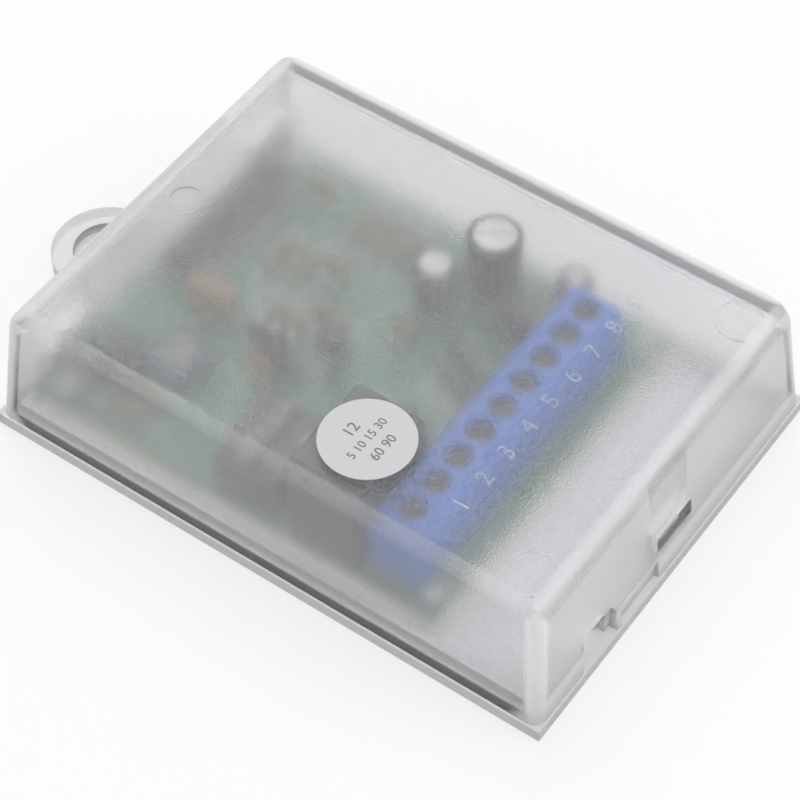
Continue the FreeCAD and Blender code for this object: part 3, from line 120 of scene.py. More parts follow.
def new_node(tree: bpy.types.NodeTree, kind: str, settings: dict | None = None,
             inputs: dict | None = None) -> bpy.types.Node:
    """Add one node to a tree.

    Args:
        tree: the tree.
        kind: the node's type.
        settings: its own settings, which are set first.
        inputs: values or sockets, as for fill.

    Returns:
        The node.
    """
    node = tree.nodes.new(kind)
    for key, value in (settings or {}).items():
        setattr(node, key, value)
    fill(tree, node, inputs or {})
    return node


class Socket:
    """An output socket whose arithmetic adds Math nodes to its tree."""

    def __init__(self, tree: bpy.types.NodeTree, socket: bpy.types.NodeSocket) -> None:
        """Wrap one output socket of a tree."""
        self.tree = tree
        self.socket = socket

    def maths(self, operation: str, left: Socket | float, right: Socket | float) -> Socket:
        """Add one Math node.

        Args:
            operation: the Math node's operation.
            left: first value.
            right: second value.

        Returns:
            The node's result.
        """
        node = new_node(self.tree, "ShaderNodeMath", {"operation": operation}, {0: left, 1: right})
        return Socket(self.tree, node.outputs[0])

    def __add__(self, other: Socket | float) -> Socket:
        """This value plus another."""
        return self.maths("ADD", self, other)

    __radd__ = __add__

    def __sub__(self, other: Socket | float) -> Socket:
        """This value less another."""
        return self.maths("SUBTRACT", self, other)

    def __rsub__(self, other: Socket | float) -> Socket:
        """Another value less this one."""
        return self.maths("SUBTRACT", other, self)

    def __mul__(self, other: Socket | float) -> Socket:
        """This value times another."""
        return self.maths("MULTIPLY", self, other)

    __rmul__ = __mul__

    def absolute(self) -> Socket:
        """This value without its sign."""
        return self.maths("ABSOLUTE", self, 0.0)

    def larger(self, other: Socket | float) -> Socket:
        """The larger of this value and another."""
        return self.maths("MAXIMUM", self, other)

    def above(self, limit: Socket | float) -> Socket:
        """One where this value is over a limit, else zero."""
        return self.maths("GREATER_THAN", self, limit)

    def near(self, middle: float, half: float) -> Socket:
        """One within a half width of a middle value, else zero."""
        gap = (self - middle).absolute()
        return gap.maths("LESS_THAN", gap, half)


class Shader:
    """A material with a Principled surface, and one way to add any other node."""

    def __init__(self, name: str) -> None:
        """Start an empty node tree with its output and surface nodes.

        Args:
            name: the finish's name.
        """
        self.material = bpy.data.materials.new(FINISH_PREFIX + name)
        self.material.use_nodes = True
        self.tree = self.material.node_tree
        self.tree.nodes.clear()
        self.surface = new_node(self.tree, "ShaderNodeBsdfPrincipled")
        self.output = new_node(self.tree, "ShaderNodeOutputMaterial", None,
                               {"Surface": self.surface.outputs[0]})

    def add(self, kind: str, settings: dict | None = None, inputs: dict | None = None,
            output: str | int = 0) -> Socket:
        """Add one node.

        Args:
            kind: the node's type.
            settings: its own settings.
            inputs: values or sockets, as for fill.
            output: the output wanted, by number or name.

        Returns:
            The chosen output.
        """
        return Socket(self.tree, new_node(self.tree, kind, settings, inputs).outputs[output])

    def set(self, **inputs: object) -> None:
        """Set or link the surface's inputs, with spaces in their names written as underscores."""
        fill(self.tree, self.surface, {key.replace("_", " "): value for key, value in inputs.items()})

    def place(self) -> Socket:
        """The point on the piece in its own frame."""
        return self.add("ShaderNodeTexCoord", output="Object")

    def noise(self, size: float, detail: float = 3.0, at: Socket | None = None) -> Socket:
        """Smooth noise with features of about one size.

        Args:
            size: feature size in metres.
            detail: octaves.
            at: the point to read at; the piece's own frame when left out.

        Returns:
            A value around one half.
        """
        return self.add("ShaderNodeTexNoise", None,
                        {"Vector": at or self.place(), "Scale": 1.0 / size, "Detail": detail}, "Fac")

    def mix(self, share: Socket | float, first: Socket | Colour, second: Socket | Colour) -> Socket:
        """Blend two colours."""
        return self.add("ShaderNodeMix", {"data_type": "RGBA"},
                        {"Factor_Float": share, "A_Color": first, "B_Color": second}, 2)

    def bump(self, height: Socket, depth: float) -> Socket:
        """A normal from a height, with the depth of its full step in metres."""
        return self.add("ShaderNodeBump", None, {"Height": height, "Distance": depth}, "Normal")

    def ramp(self, value: Socket, low: float, high: float) -> Socket:
        """Zero below one value, one above another, and smooth between."""
        return self.add("ShaderNodeMapRange", {"interpolation_type": "SMOOTHSTEP"},
                        {"Value": value, "From Min": low, "From Max": high}, "Result")

    def axis(self, letter: str) -> Socket:
        """One coordinate of the point on the piece."""
        return self.add("ShaderNodeSeparateXYZ", None, {"Vector": self.place()}, letter)

    def rise(self) -> Socket:
        """How level the face lies: one where it is flat, zero where it stands upright."""
        normal = self.add("ShaderNodeNewGeometry", output="Normal")
        return self.add("ShaderNodeSeparateXYZ", None, {"Vector": normal}, "Z").absolute()

    def attribute(self, name: str) -> Socket:
        """A number that the mesh carries at each point."""
        return self.add("ShaderNodeAttribute", {"attribute_name": name}, output="Fac")

    def mottled(self, cloud: Socket, colour: Colour, dark: float, pale: float) -> Socket:
        """A colour that runs from one shade of it to another."""
        return self.mix(cloud, shade(colour, dark), shade(colour, pale))

    def blend(self, share: Socket, second: bpy.types.Node) -> None:
        """Mix a second surface over the first.

        Args:
            share: the second surface's share, which may vary from point to point.
            second: its node.
        """
        mixer = new_node(self.tree, "ShaderNodeMixShader", None,
                         {0: share, 1: self.surface.outputs[0], 2: second.outputs[0]})
        self.tree.links.new(mixer.outputs[0], self.output.inputs["Surface"])


def shade(colour: Colour, factor: float) -> Colour:
    """A colour made darker or lighter by one factor."""
    return tuple(min(1.0, channel * factor) for channel in colour)


# Finishes.

@dataclass(frozen=True)
class Plastic:
    """Moulded plastic with fine grain, faint mottling and a little wear of its gloss."""

    name: str
    colour: Colour
    roughness: float = 0.42
    mottle: float = 0.10
    mottle_size: float = 6.0 * MM
    grain_size: float = 0.25 * MM
    grain_detail: float = 2.0
    grain_depth: float = 0.004 * MM
    scuff_size: float = 1.5 * MM
    scuff_detail: float = 5.0
    wear: float = 0.16

    def material(self) -> bpy.types.Material:
        """Build the material."""
        shader = Shader(self.name)
        tint = shader.mottled(shader.noise(self.mottle_size), self.colour, 1 - self.mottle, 1 + self.mottle)
        fine = shader.noise(self.grain_size, self.grain_detail)
        scuff = shader.noise(self.scuff_size, self.scuff_detail)
        shader.set(Base_Color=tint, Roughness=self.roughness - self.wear / 2 + scuff * self.wear,
                   Normal=shader.bump(fine, self.grain_depth))
        return shader.material


@dataclass(frozen=True)
class Frosted:
    """Clear plastic with a fine frosted grain, milkier where it is looked along.

    The milk is a second, opaque surface. Its share is "milk" where the plastic is looked along, and
    at least "haze" in the grain's speckles. "edge_shade" paints shade on upright faces by darkening their
    colour.
    """

    name: str
    colour: Colour
    transmission: float
    roughness: float
    grain_size: float = 0.35 * MM
    grain_detail: float = 1.5
    grain_depth: float = 0.010 * MM
    milk: float = 0.0
    haze: float = 0.0
    milk_colour: Colour = (0.88, 0.872, 0.895)
    grain_contrast: float = 0.90
    speckle: tuple[float, float] = (0.42, 0.60)
    mottle: float = 0.015
    mottle_size: float = 9.0 * MM
    ior: float = 1.30
    # Painted shade: upright faces are darkened towards this share of their colour; 1.0 paints none.
    edge_shade: float = 1.0

    def material(self) -> bpy.types.Material:
        """Build the material."""
        shader = Shader(self.name)
        tint = shader.mottled(shader.noise(self.mottle_size), self.colour, 1 - self.mottle, 1 + self.mottle)
        # Painted shade darkens the tint on upright faces.
        tint = self.edged(shader, tint, self.colour)
        normal = shader.bump(shader.noise(self.grain_size, self.grain_detail), self.grain_depth)
        shader.set(Base_Color=tint, Roughness=self.roughness, Transmission_Weight=self.transmission,
                   IOR=self.ior, Normal=normal)
        if self.milk > 0:
            # The milky surface gets the same painted shade on upright faces.
            white = self.edged(shader, self.milk_colour, self.milk_colour)
            milky = new_node(shader.tree, "ShaderNodeBsdfPrincipled", None,
                             {"Base Color": white, "Roughness": self.roughness, "Normal": normal})
            shader.blend(self.milk_share(shader), milky)
        return shader.material

    def edged(self, shader: Shader, tint: Socket | Colour, colour: Colour) -> Socket | Colour:
        """Paint shade onto a tint: darkest on upright faces, none on level ones.

        Args:
            shader: the material's shader.
            tint: the tint to darken.
            colour: the tint's plain colour.

        Returns:
            The tint, or a mix of it with a darker colour.
        """
        if self.edge_shade == 1.0:
            return tint
        return shader.mix(1 - shader.rise(), tint, shade(colour, self.edge_shade))

    def milk_share(self, shader: Shader) -> Socket:
        """How milky the plastic is: more where it is looked along, with a speckled haze all over.

        Args:
            shader: the material's shader.

        Returns:
            The milky surface's share.
        """
        slant = shader.add("ShaderNodeLayerWeight", None, {"Blend": 0.5}, "Facing")
        speckle = shader.ramp(shader.noise(self.grain_size, 1.0), *self.speckle)
        haze = (speckle * self.grain_contrast + (1 - self.grain_contrast)) * self.haze
        return (slant * slant * self.milk).larger(haze)


@dataclass(frozen=True)
class FrostedLid(Frosted):
    """Frosted plastic that is milkier along the lid's rounded edges.

    The sizes are the lid's own. Each band gives the distance from an edge at which its milk starts to
    fade and that at which it ends, and each share says how milky it is at its middle.
    """

    half_length: float = 44.25 * MM
    half_width: float = 32.40 * MM
    foot: float = 2.0 * MM
    top: float = 22.8 * MM
    draft: float = 6.0
    edge_milk: float = 0.80
    end_share: float = 0.82
    near_share: float = 0.30
    near_fade: float = 20.0 * MM
    end_band: tuple[float, float] = (1.3 * MM, 3.2 * MM)
    ear_reach: float = 1.2 * MM
    side_band: tuple[float, float] = (1.1 * MM, 2.4 * MM)
    corner_band: tuple[float, float] = (1.4 * MM, 3.0 * MM)
    foot_band: tuple[float, float] = (2.5 * MM, 6.5 * MM)
    foot_share: float = 0.75
    inner_band: tuple[float, float] = (5.0 * MM, 6.6 * MM)
    inner_depth: tuple[float, float] = (0.9 * MM, 1.6 * MM)
    inner_share: float = 0.75

    def milk_share(self, shader: Shader) -> Socket:
        """How milky the lid is: the plain share, or more within a band of the rounded edges.

        Args:
            shader: the material's shader.

        Returns:
            The milky surface's share.
        """
        base = super().milk_share(shader)
        x = shader.axis("X")
        y = shader.axis("Y")
        z = shader.axis("Z")
        lean = (z - self.foot) * math.tan(math.radians(self.draft))
        from_end = self.half_length - lean - x.absolute()
        from_side = self.half_width - lean - y.absolute()
        from_top = self.top - z
        far = shader.ramp(y, -self.near_fade, self.near_fade)
        ear = 1 - shader.ramp(x, -self.near_fade, self.near_fade)
        side_share = far * (1 - self.near_share) + self.near_share
        bands = [
            (1 - shader.ramp(from_top + from_end - ear * self.ear_reach, *self.end_band)) * self.end_share,
            (1 - shader.ramp(from_top + from_side, *self.side_band)) * side_share,
            (1 - shader.ramp(from_end + from_side, *self.corner_band)) * self.end_share,
            (1 - shader.ramp(from_end + z - self.foot, *self.foot_band)) * self.foot_share,
        ]
        for aside, share in ((from_end, ear), (from_side, far)):
            deep = shader.ramp(aside.maths("MINIMUM", aside, from_top), *self.inner_depth)
            inner = (1 - shader.ramp(from_top + aside, *self.inner_band)) * deep
            bands.append(inner * share * self.inner_share)
        edge = bands[0]
        for band in bands[1:]:
            edge = edge.larger(band)
        return base.larger(edge * self.edge_milk)


@dataclass(frozen=True)
class Metal:
    """Metal with faint brushing along one axis and dull patches."""

    name: str
    colour: Colour
    roughness: float = 0.30
    brush: Point = (6.0, 1.0, 1.0)
    dull: float = 0.18
    line_size: float = 0.5 * MM
    line_detail: float = 4.0
    line_depth: float = 0.003 * MM
    line_wear: float = 0.12
    patch_size: float = 2.5 * MM
    patch_wear: float = 0.08

    def material(self) -> bpy.types.Material:
        """Build the material."""
        shader = Shader(self.name)
        stretched = shader.add("ShaderNodeMapping", None, {"Vector": shader.place(), "Scale": self.brush})
        lines = shader.noise(self.line_size, self.line_detail, stretched)
        patches = shader.noise(self.patch_size)
        tint = shader.mottled(patches, self.colour, 1 - self.dull, 1.0)
        rough = self.roughness - self.line_wear / 2 + lines * self.line_wear + patches * self.patch_wear
        shader.set(Base_Color=tint, Metallic=1.0, Roughness=rough,
                   Normal=shader.bump(lines, self.line_depth))
        return shader.material


@dataclass(frozen=True)
class Paper:
    """Matt paper with faint fibres."""

    name: str
    colour: Colour
    roughness: float = 0.62
    shades: tuple[float, float] = (0.97, 1.02)
    wear: float = 0.10
    fibre_size: float = 0.2 * MM
    fibre_detail: float = 5.0
    fibre_depth: float = 0.004 * MM

    def material(self) -> bpy.types.Material:
        """Build the material."""
        shader = Shader(self.name)
        fibre = shader.noise(self.fibre_size, self.fibre_detail)
        tint = shader.mottled(fibre, self.colour, *self.shades)
        shader.set(Base_Color=tint, Roughness=self.roughness + fibre * self.wear,
                   Normal=shader.bump(fibre, self.fibre_depth))
        return shader.material


@dataclass(frozen=True)
class Banded:
    """Lacquer with colour bands across a turned piece, read from its attribute "along"."""

    name: str
    colour: Colour
    bands: tuple[tuple[float, Colour], ...]
    band_width: float = 0.055
    roughness: float = 0.28
    mottle: float = 0.12
    mottle_size: float = 1.2 * MM
    mottle_depth: float = 0.02 * MM
    wear: float = 0.10
    waver: float = 0.012
    waver_size: float = 0.4 * MM

    def material(self) -> bpy.types.Material:
        """Build the material."""
        shader = Shader(self.name)
        cloud = shader.noise(self.mottle_size)
        tint = shader.mottled(cloud, self.colour, 1 - self.mottle, 1 + self.mottle)
        edge = shader.attribute("along") + shader.noise(self.waver_size) * self.waver
        for middle, colour in self.bands:
            tint = shader.mix(edge.near(middle + self.waver / 2, self.band_width / 2), tint, colour)
        shader.set(Base_Color=tint, Roughness=self.roughness + cloud * self.wear,
                   Normal=shader.bump(cloud, self.mottle_depth))
        return shader.material


@dataclass(frozen=True)
class Sleeve:
    """Shrunk film with one pale stripe and its dashes, read from "round" and "along"."""

    name: str
    colour: Colour
    stripe: Colour
    shades: tuple[float, float] = (0.85, 1.2)
    stripe_start: float = 0.84
    stripe_reach: tuple[float, float] = (0.52, 0.30)
    dashes: float = 5.0
    dash_start: float = 0.93
    dash_half: float = 0.20
    roughness: float = 0.24
    wear: float = 0.12
    mottle_size: float = 1.5 * MM
    mottle_depth: float = 0.03 * MM

    def material(self) -> bpy.types.Material:
        """Build the material."""
        shader = Shader(self.name)
        cloud = shader.noise(self.mottle_size)
        base = shader.mottled(cloud, self.colour, *self.shades)
        turn = shader.attribute("round")
        along = shader.attribute("along")
        steps = along * self.dashes
        dash = steps.maths("FRACT", steps, 0.0).near(0.5, self.dash_half) * turn.above(self.dash_start)
        side = along.near(*self.stripe_reach)
        band = shader.mix(dash, self.stripe, self.colour)
        tint = shader.mix(turn.above(self.stripe_start) * side, base, band)
        shader.set(Base_Color=tint, Roughness=self.roughness + cloud * self.wear,
                   Normal=shader.bump(cloud, self.mottle_depth))
        return shader.material


@dataclass(frozen=True)
class Laminate:
    """Green board: glass weave under a glossy mask on its faces, pale at the cut edges."""

    name: str
    mask: Colour = (0.042, 0.165, 0.100)
    edge: Colour = (0.34, 0.36, 0.20)
    shades: tuple[float, float] = (0.85, 1.2)
    mottle_size: float = 5.0 * MM
    threads: float = 700.0
    waver: float = 0.4
    weave_share: float = 0.4
    weave_depth: float = 0.006 * MM
    flat_from: float = 0.7
    edge_roughness: float = 0.55
    mask_roughness: float = 0.28

    def material(self) -> bpy.types.Material:
        """Build the material."""
        shader = Shader(self.name)
        cloud = shader.noise(self.mottle_size)
        weave = self.threads_along(shader, "X") * 0.5 + self.threads_along(shader, "Y") * 0.5
        depth = cloud * (1 - self.weave_share) + weave * self.weave_share
        green = shader.mottled(depth, self.mask, *self.shades)
        flat = shader.rise().above(self.flat_from)
        shader.set(Base_Color=shader.mix(flat, self.edge, green),
                   Roughness=self.edge_roughness - flat * (self.edge_roughness - self.mask_roughness),
                   Normal=shader.bump(weave, self.weave_depth))
        return shader.material

    def threads_along(self, shader: Shader, direction: str) -> Socket:
        """Draw the glass threads that follow each other along one axis.

        Args:
            shader: the material's shader.
            direction: the axis.

        Returns:
            Their height.
        """
        settings = {"wave_type": "BANDS", "bands_direction": direction}
        inputs = {"Vector": shader.place(), "Scale": self.threads, "Distortion": self.waver}
        return shader.add("ShaderNodeTexWave", settings, inputs, "Fac")


class Finish(Enum):
    """The finishes of the object, by the slot names of its parts."""

    lid_plastic = FrostedLid("lid_plastic", (0.965, 0.965, 0.975), 0.975, 0.272, grain_size=0.26 * MM,
                             grain_depth=0.060 * MM, milk=0.52, haze=0.125)
    # The base plate's upright faces carry painted shade.
    base_plastic = Frosted("base_plastic", (0.88, 0.88, 0.895), 0.50, 0.36, grain_size=0.30 * MM,
                           grain_depth=0.015 * MM, milk=0.60, haze=0.20, edge_shade=0.55)
    label_paper = Paper("label_paper", (0.61, 0.61, 0.625))
    board_laminate = Laminate("board_laminate")
    board_screw_steel = Metal("board_screw_steel", (0.50, 0.50, 0.48))
    terminal_plastic = Plastic("terminal_plastic", (0.018, 0.135, 0.54), 0.38)
    tinned_brass = Metal("tinned_brass", (0.62, 0.60, 0.54), 0.30)
    screw_steel = Metal("screw_steel", (0.085, 0.085, 0.092), 0.42)
    clamp_steel = Metal("clamp_steel", (0.42, 0.40, 0.36), 0.38)
    chip_plastic = Plastic("chip_plastic", (0.022, 0.018, 0.028), 0.50)
    tinned_steel = Metal("tinned_steel", (0.60, 0.60, 0.58), 0.30)
    can_metal = Metal("can_metal", (0.60, 0.60, 0.61), 0.50)
    sleeve_film = Sleeve("sleeve_film", (0.016, 0.017, 0.022), (0.13, 0.14, 0.16))
    relay_plastic = Plastic("relay_plastic", (0.020, 0.019, 0.024), 0.42)
    bobbin_plastic = Plastic("bobbin_plastic", (0.72, 0.70, 0.64), 0.45)
    coil_copper = Metal("coil_copper", (0.72, 0.30, 0.14), 0.32, brush=(1.0, 1.0, 12.0))
    yoke_iron = Metal("yoke_iron", (0.48, 0.48, 0.47), 0.38)
    switch_plastic = Plastic("switch_plastic", (0.058, 0.028, 0.028), 0.44)
    slider_plastic = Plastic("slider_plastic", (0.36, 0.35, 0.33), 0.42)
    trimmer_plastic = Plastic("trimmer_plastic", (0.050, 0.085, 0.110), 0.40)
    rotor_plastic = Plastic("rotor_plastic", (0.22, 0.21, 0.19), 0.42)
    button_plastic = Plastic("button_plastic", (0.030, 0.030, 0.032), 0.40)
    header_plastic = Plastic("header_plastic", (0.020, 0.020, 0.021), 0.46)
    link_plastic = Plastic("link_plastic", (0.030, 0.030, 0.034), 0.44)
    lamp_lens = Frosted("lamp_lens", (0.86, 0.90, 0.94), 0.60, 0.12, grain_size=0.8 * MM,
                        grain_depth=0.002 * MM, milk=0.30)
    transistor_plastic = Plastic("transistor_plastic", (0.025, 0.025, 0.026), 0.48)
    resistor_lacquer = Banded("resistor_lacquer", (0.26, 0.20, 0.125), (
        (0.26, (0.10, 0.030, 0.012)), (0.40, (0.012, 0.012, 0.012)),
        (0.54, (0.16, 0.028, 0.012)), (0.74, (0.26, 0.17, 0.05))))
    diode_plastic = Banded("diode_plastic", (0.028, 0.027, 0.027), ((0.74, (0.42, 0.42, 0.42)),),
                           band_width=0.09, roughness=0.36)
    disc_ceramic = Plastic("disc_ceramic", (0.25, 0.155, 0.062), 0.44)
    resonator_case = Plastic("resonator_case", (0.21, 0.13, 0.055), 0.38)

    def material(self) -> bpy.types.Material:
        """The finish's material, built on first use."""
        return bpy.data.materials.get(FINISH_PREFIX + self.name) or self.value.material()

    @property
    def slot(self) -> str:
        """The record's slot of this finish."""
        return self.name


class Trim(Enum):
    """Finishes of added detail, each with the record's slot that it belongs to."""

    solder = Metal("solder", (0.58, 0.58, 0.56), 0.30), "tinned_brass"
    track_copper = Plastic("track_copper", (0.060, 0.250, 0.125), 0.34), "board_laminate"
    outline_ink = Plastic("outline_ink", (0.55, 0.56, 0.53), 0.55), "board_laminate"
    label_ink = Plastic("label_ink", (0.16, 0.16, 0.165), 0.60), "label_paper"
    second_bands = Banded("second_bands", (0.24, 0.20, 0.13), (
        (0.26, (0.16, 0.10, 0.012)), (0.40, (0.06, 0.022, 0.07)),
        (0.54, (0.17, 0.05, 0.012)), (0.74, (0.26, 0.17, 0.05)))), "resistor_lacquer"

    def material(self) -> bpy.types.Material:
        """The finish's material, built on first use."""
        return bpy.data.materials.get(FINISH_PREFIX + self.value[0].name) or self.value[0].material()

    @property
    def slot(self) -> str:
        """The record's slot that the detail belongs to."""
        return self.value[1]


Look = Finish | Trim


# Meshes.

def add_piece(name: str, mesh: bpy.types.Mesh, body: str, finish: Look,
              *stands_for: str) -> bpy.types.Object:
    """Put a mesh in the scene as a piece of one body.

    Args:
        name: the piece's name.
        mesh: its mesh, already in place.
        body: the body it moves with.
        finish: its finish.
        stands_for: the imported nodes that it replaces.

    Returns:
        The new object.
    """
    thing = bpy.data.objects.new(name, mesh)
    bpy.context.collection.objects.link(thing)
    if not mesh.materials:
        mesh.materials.append(finish.material())
    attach(thing, body)
    if stands_for:
        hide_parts(*stands_for)
    LOG.info("made %s", name)
    return thing


def smooth(mesh: bpy.types.Mesh) -> None:
    """Shade a mesh smooth, with sharp edges past an angle."""
    mesh.polygons.foreach_set("use_smooth", [True] * len(mesh.polygons))
    mesh.set_sharp_from_angle(angle=math.radians(SHARP_ANGLE))


def rounded(node: str, body: str, finish: Look, width: float, legs_below: float = 0.0) -> None:
    """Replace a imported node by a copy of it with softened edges.

    Args:
        node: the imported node.
        body: the body it moves with.
        finish: the copy's finish.
        width: how far the rounding reaches from each edge.
        legs_below: faces whose middle is lower than this are tinned legs.
    """
    mesh = bpy.data.objects[node].data.copy()
    mesh.materials.clear()
    mesh.materials.append(finish.material())
    mesh.materials.append(Finish.tinned_steel.material())
    work = bmesh.new()
    work.from_mesh(mesh)
    bmesh.ops.remove_doubles(work, verts=work.verts, dist=WELD)
    bmesh.ops.dissolve_limit(work, angle_limit=math.radians(FLAT_ANGLE), verts=work.verts, edges=work.edges)
    for face in work.faces:
        face.material_index = int(face.calc_center_median().z < legs_below)
    work.to_mesh(mesh)
    work.free()
    smooth(mesh)
    piece = add_piece(f"{node}_piece", mesh, body, finish, node)
    bevel = piece.modifiers.new("softened_edges", "BEVEL")
    bevel.width = width
    bevel.segments = 2
    bevel.limit_method = "ANGLE"
    bevel.angle_limit = math.radians(BEVEL_ANGLE)
    bevel.use_clamp_overlap = False
    bevel.harden_normals = True


def turned(profile: Profile, segments: int) -> bpy.types.Mesh:
    """Turn an outline about Z.

    Args:
        profile: radius and height of each ring, from the bottom pole to the top one.
        segments: faces round each ring.

    Returns:
        A closed mesh. Its attribute "along" runs from 0 to 1 over the outline's length, and
        "round" from 0 at +X both ways to 1 at -X.
    """
    work = bmesh.new()
    along = work.verts.layers.float.new("along")
    around = work.verts.layers.float.new("round")
    lengths = [0.0]
    for (r0, z0), (r1, z1) in zip(profile, profile[1:]):
        lengths.append(lengths[-1] + math.hypot(r1 - r0, z1 - z0))
    rings = []
    for (radius, height), length in zip(profile, lengths):
        count = segments if radius > 0 else 1
        ring = []
        for step in range(count):
            angle = 2 * math.pi * step / segments
            vertex = work.verts.new((radius * math.cos(angle), radius * math.sin(angle), height))
            vertex[along] = length / lengths[-1]
            vertex[around] = 1 - abs(1 - 2 * step / segments)
            ring.append(vertex)
        rings.append(ring)
    for low, high in zip(rings, rings[1:]):
        for step in range(segments):
            corners = [low[step % len(low)], low[(step + 1) % len(low)],
                       high[(step + 1) % len(high)], high[step % len(high)]]
            work.faces.new(dict.fromkeys(corners))
    mesh = bpy.data.meshes.new("turned")
    work.to_mesh(mesh)
    work.free()
    smooth(mesh)
    return mesh


def scaled(outline: Outline, radius: float, height: float) -> Profile:
    """An outline given as shares of a radius and a height, at its real size."""
    return [(share * radius, rise * height) for share, rise in outline]


def mirrored(half: Outline, radius: float, height: float) -> Profile:
    """Complete an outline that is alike above and below its middle.

    Args:
        half: its upper half as shares of a radius and a height, from the pole to the middle.
        radius: the radius.
        height: the height.

    Returns:
        The whole outline at its real size, from the bottom pole to the top one.
    """
    upper = [point for point in reversed(half) if point[1] > 0]
    return scaled(half, radius, -height) + scaled(upper, radius, height)


def across(point: Vector) -> tuple[float, float]:
    """A point's rounded place on the board, to sort by."""
    return round(point.x, PLACE_DIGITS), round(point.y, PLACE_DIGITS)


def extent(points: list[Vector]) -> Box:
    """Find the box around some points.

    Args:
        points: the points.

    Returns:
        Its lowest and highest corners.
    """
    low = Vector(min(p[axis] for p in points) for axis in range(3))
    high = Vector(max(p[axis] for p in points) for axis in range(3))
    return low, high


def lumps(node: str, below: float = math.inf) -> list[Box]:
    """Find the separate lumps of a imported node.

    Args:
        node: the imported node.
        below: only points lower than this are looked at.

    Returns:
        The lowest and highest corners of each lump, in order of place.
    """
    work = bmesh.new()
    work.from_mesh(bpy.data.objects[node].data)
    bmesh.ops.remove_doubles(work, verts=work.verts, dist=WELD)
    left = {vertex for vertex in work.verts if vertex.co.z < below}
    found = []
    while left:
        queue = [left.pop()]
        group = []
        while queue:
            vertex = queue.pop()
            group.append(vertex.co.copy())
            near = {edge.other_vert(vertex) for edge in vertex.link_edges} & left
            left -= near
            queue += near
        found.append(extent(group))
    work.free()
    return sorted(found, key=lambda box: across(box[0]))


def lead_ends(*nodes: str) -> list[Vector]:
    """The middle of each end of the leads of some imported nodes, under the board."""
    return sorted(((low + high) / 2 for node in nodes for low, high in lumps(node, LEAD_CUT)), key=across)


def axis_place(box: Box, z: float = 0.0, turn: float = 0.0) -> Place:
    """A place on the upright axis through a box's middle.

    Args:
        box: its lowest and highest corners.
        z: the height.
        turn: the turn about the axis, in degrees.

    Returns:
        The point and the turns.
    """
    low, high = box
    return ((low.x + high.x) / 2, (low.y + high.y) / 2, z), (0, 0, turn)


def made_plain(thing: bpy.types.Object) -> bpy.types.Mesh:
    """The mesh that an object has after its modifiers."""
    bpy.context.view_layer.update()
    return bpy.data.meshes.new_from_object(thing.evaluated_get(bpy.context.evaluated_depsgraph_get()))


def words(text: str, size: float, at: Point, degrees: float, thick: float) -> bpy.types.Mesh:
    """Plain figures as a flat raised mesh.

    Args:
        text: what it reads.
        size: height of the letters.
        at: the middle of its underside.
        degrees: its turn about Z.
        thick: how far it stands up.

    Returns:
        The mesh, in place.
    """
    curve = bpy.data.curves.new("figures", "FONT")
    curve.body = text
    curve.size = size
    curve.align_x = "CENTER"
    curve.align_y = "CENTER"
    curve.extrude = thick / 2
    curve.resolution_u = FIGURE_STEPS
    thing = bpy.data.objects.new("figures", curve)
    bpy.context.collection.objects.link(thing)
    mesh = made_plain(thing)
    bpy.data.objects.remove(thing)
    bpy.data.curves.remove(curve)
    turn = Matrix.Rotation(math.radians(degrees), 4, "Z")
    mesh.transform(Matrix.Translation((at[0], at[1], at[2] + thick / 2)) @ turn)
    return mesh


def joined(meshes: list[bpy.types.Mesh], name: str) -> bpy.types.Mesh:
    """Join several meshes and close their seams.

    Args:
        meshes: the meshes.
        name: the new mesh's name.

    Returns:
        The new mesh.
    """
    work = bmesh.new()
    for mesh in meshes:
        work.from_mesh(mesh)
    bmesh.ops.remove_doubles(work, verts=work.verts, dist=WELD / 2)
    out = bpy.data.meshes.new(name)
    work.to_mesh(out)
    work.free()
    return out


# Geometry Nodes.

class Growth:
    """A Geometry Nodes tree with named inputs, run once and turned into a plain mesh."""

    def __init__(self, name: str) -> None:
        """Start a tree that takes and gives a geometry.

        Args:
            name: the tree's name.
        """
        self.tree = bpy.data.node_groups.new(name, "GeometryNodeTree")
        self.tree.interface.new_socket("Geometry", in_out="INPUT", socket_type="NodeSocketGeometry")
        self.tree.interface.new_socket("Geometry", in_out="OUTPUT", socket_type="NodeSocketGeometry")
        self.start = new_node(self.tree, "NodeGroupInput")
        self.end = new_node(self.tree, "NodeGroupOutput")
        self.values: dict[str, object] = {}

    def size(self, name: str, kind: str, value: object) -> bpy.types.NodeSocket:
        """Add a named input with the value it runs with.

        Args:
            name: the input's name.
            kind: Float, Object, Material or another socket kind.
            value: its value.

        Returns:
            The input's socket inside the tree.
        """
        item = self.tree.interface.new_socket(name, in_out="INPUT", socket_type=f"NodeSocket{kind}")
        self.values[item.identifier] = value
        return next(slot for slot in self.start.outputs if slot.identifier == item.identifier)

    def add(self, kind: str, settings: dict | None = None, inputs: dict | None = None) -> bpy.types.Node:
        """Add one node to the tree, as new_node does."""
        return new_node(self.tree, kind, settings, inputs)

    def finish(self, shape: bpy.types.NodeSocket, finish: Look) -> None:
        """End the tree in Realize Instances and Set Material.

        Args:
            shape: the socket of the finished geometry.
            finish: the finish that it gets.
        """
        real = self.add("GeometryNodeRealizeInstances", None, {"Geometry": shape})
        look = self.size("Finish", "Material", finish.material())
        dressed = self.add("GeometryNodeSetMaterial", None, {"Geometry": real.outputs[0], "Material": look})
        self.tree.links.new(dressed.outputs[0], self.end.inputs[0])

    def run(self, base: bpy.types.Mesh) -> bpy.types.Mesh:
        """Run the tree.

        Args:
            base: the mesh that it runs on.

        Returns:
            Its result as a plain mesh.
        """
        thing = bpy.data.objects.new("growing", base)
        bpy.context.collection.objects.link(thing)
        modifier = thing.modifiers.new("growth", "NODES")
        modifier.node_group = self.tree
        for identifier, value in self.values.items():
            modifier[identifier] = value
        mesh = made_plain(thing)
        thing.modifiers.remove(modifier)
        bpy.data.objects.remove(thing)
        return mesh


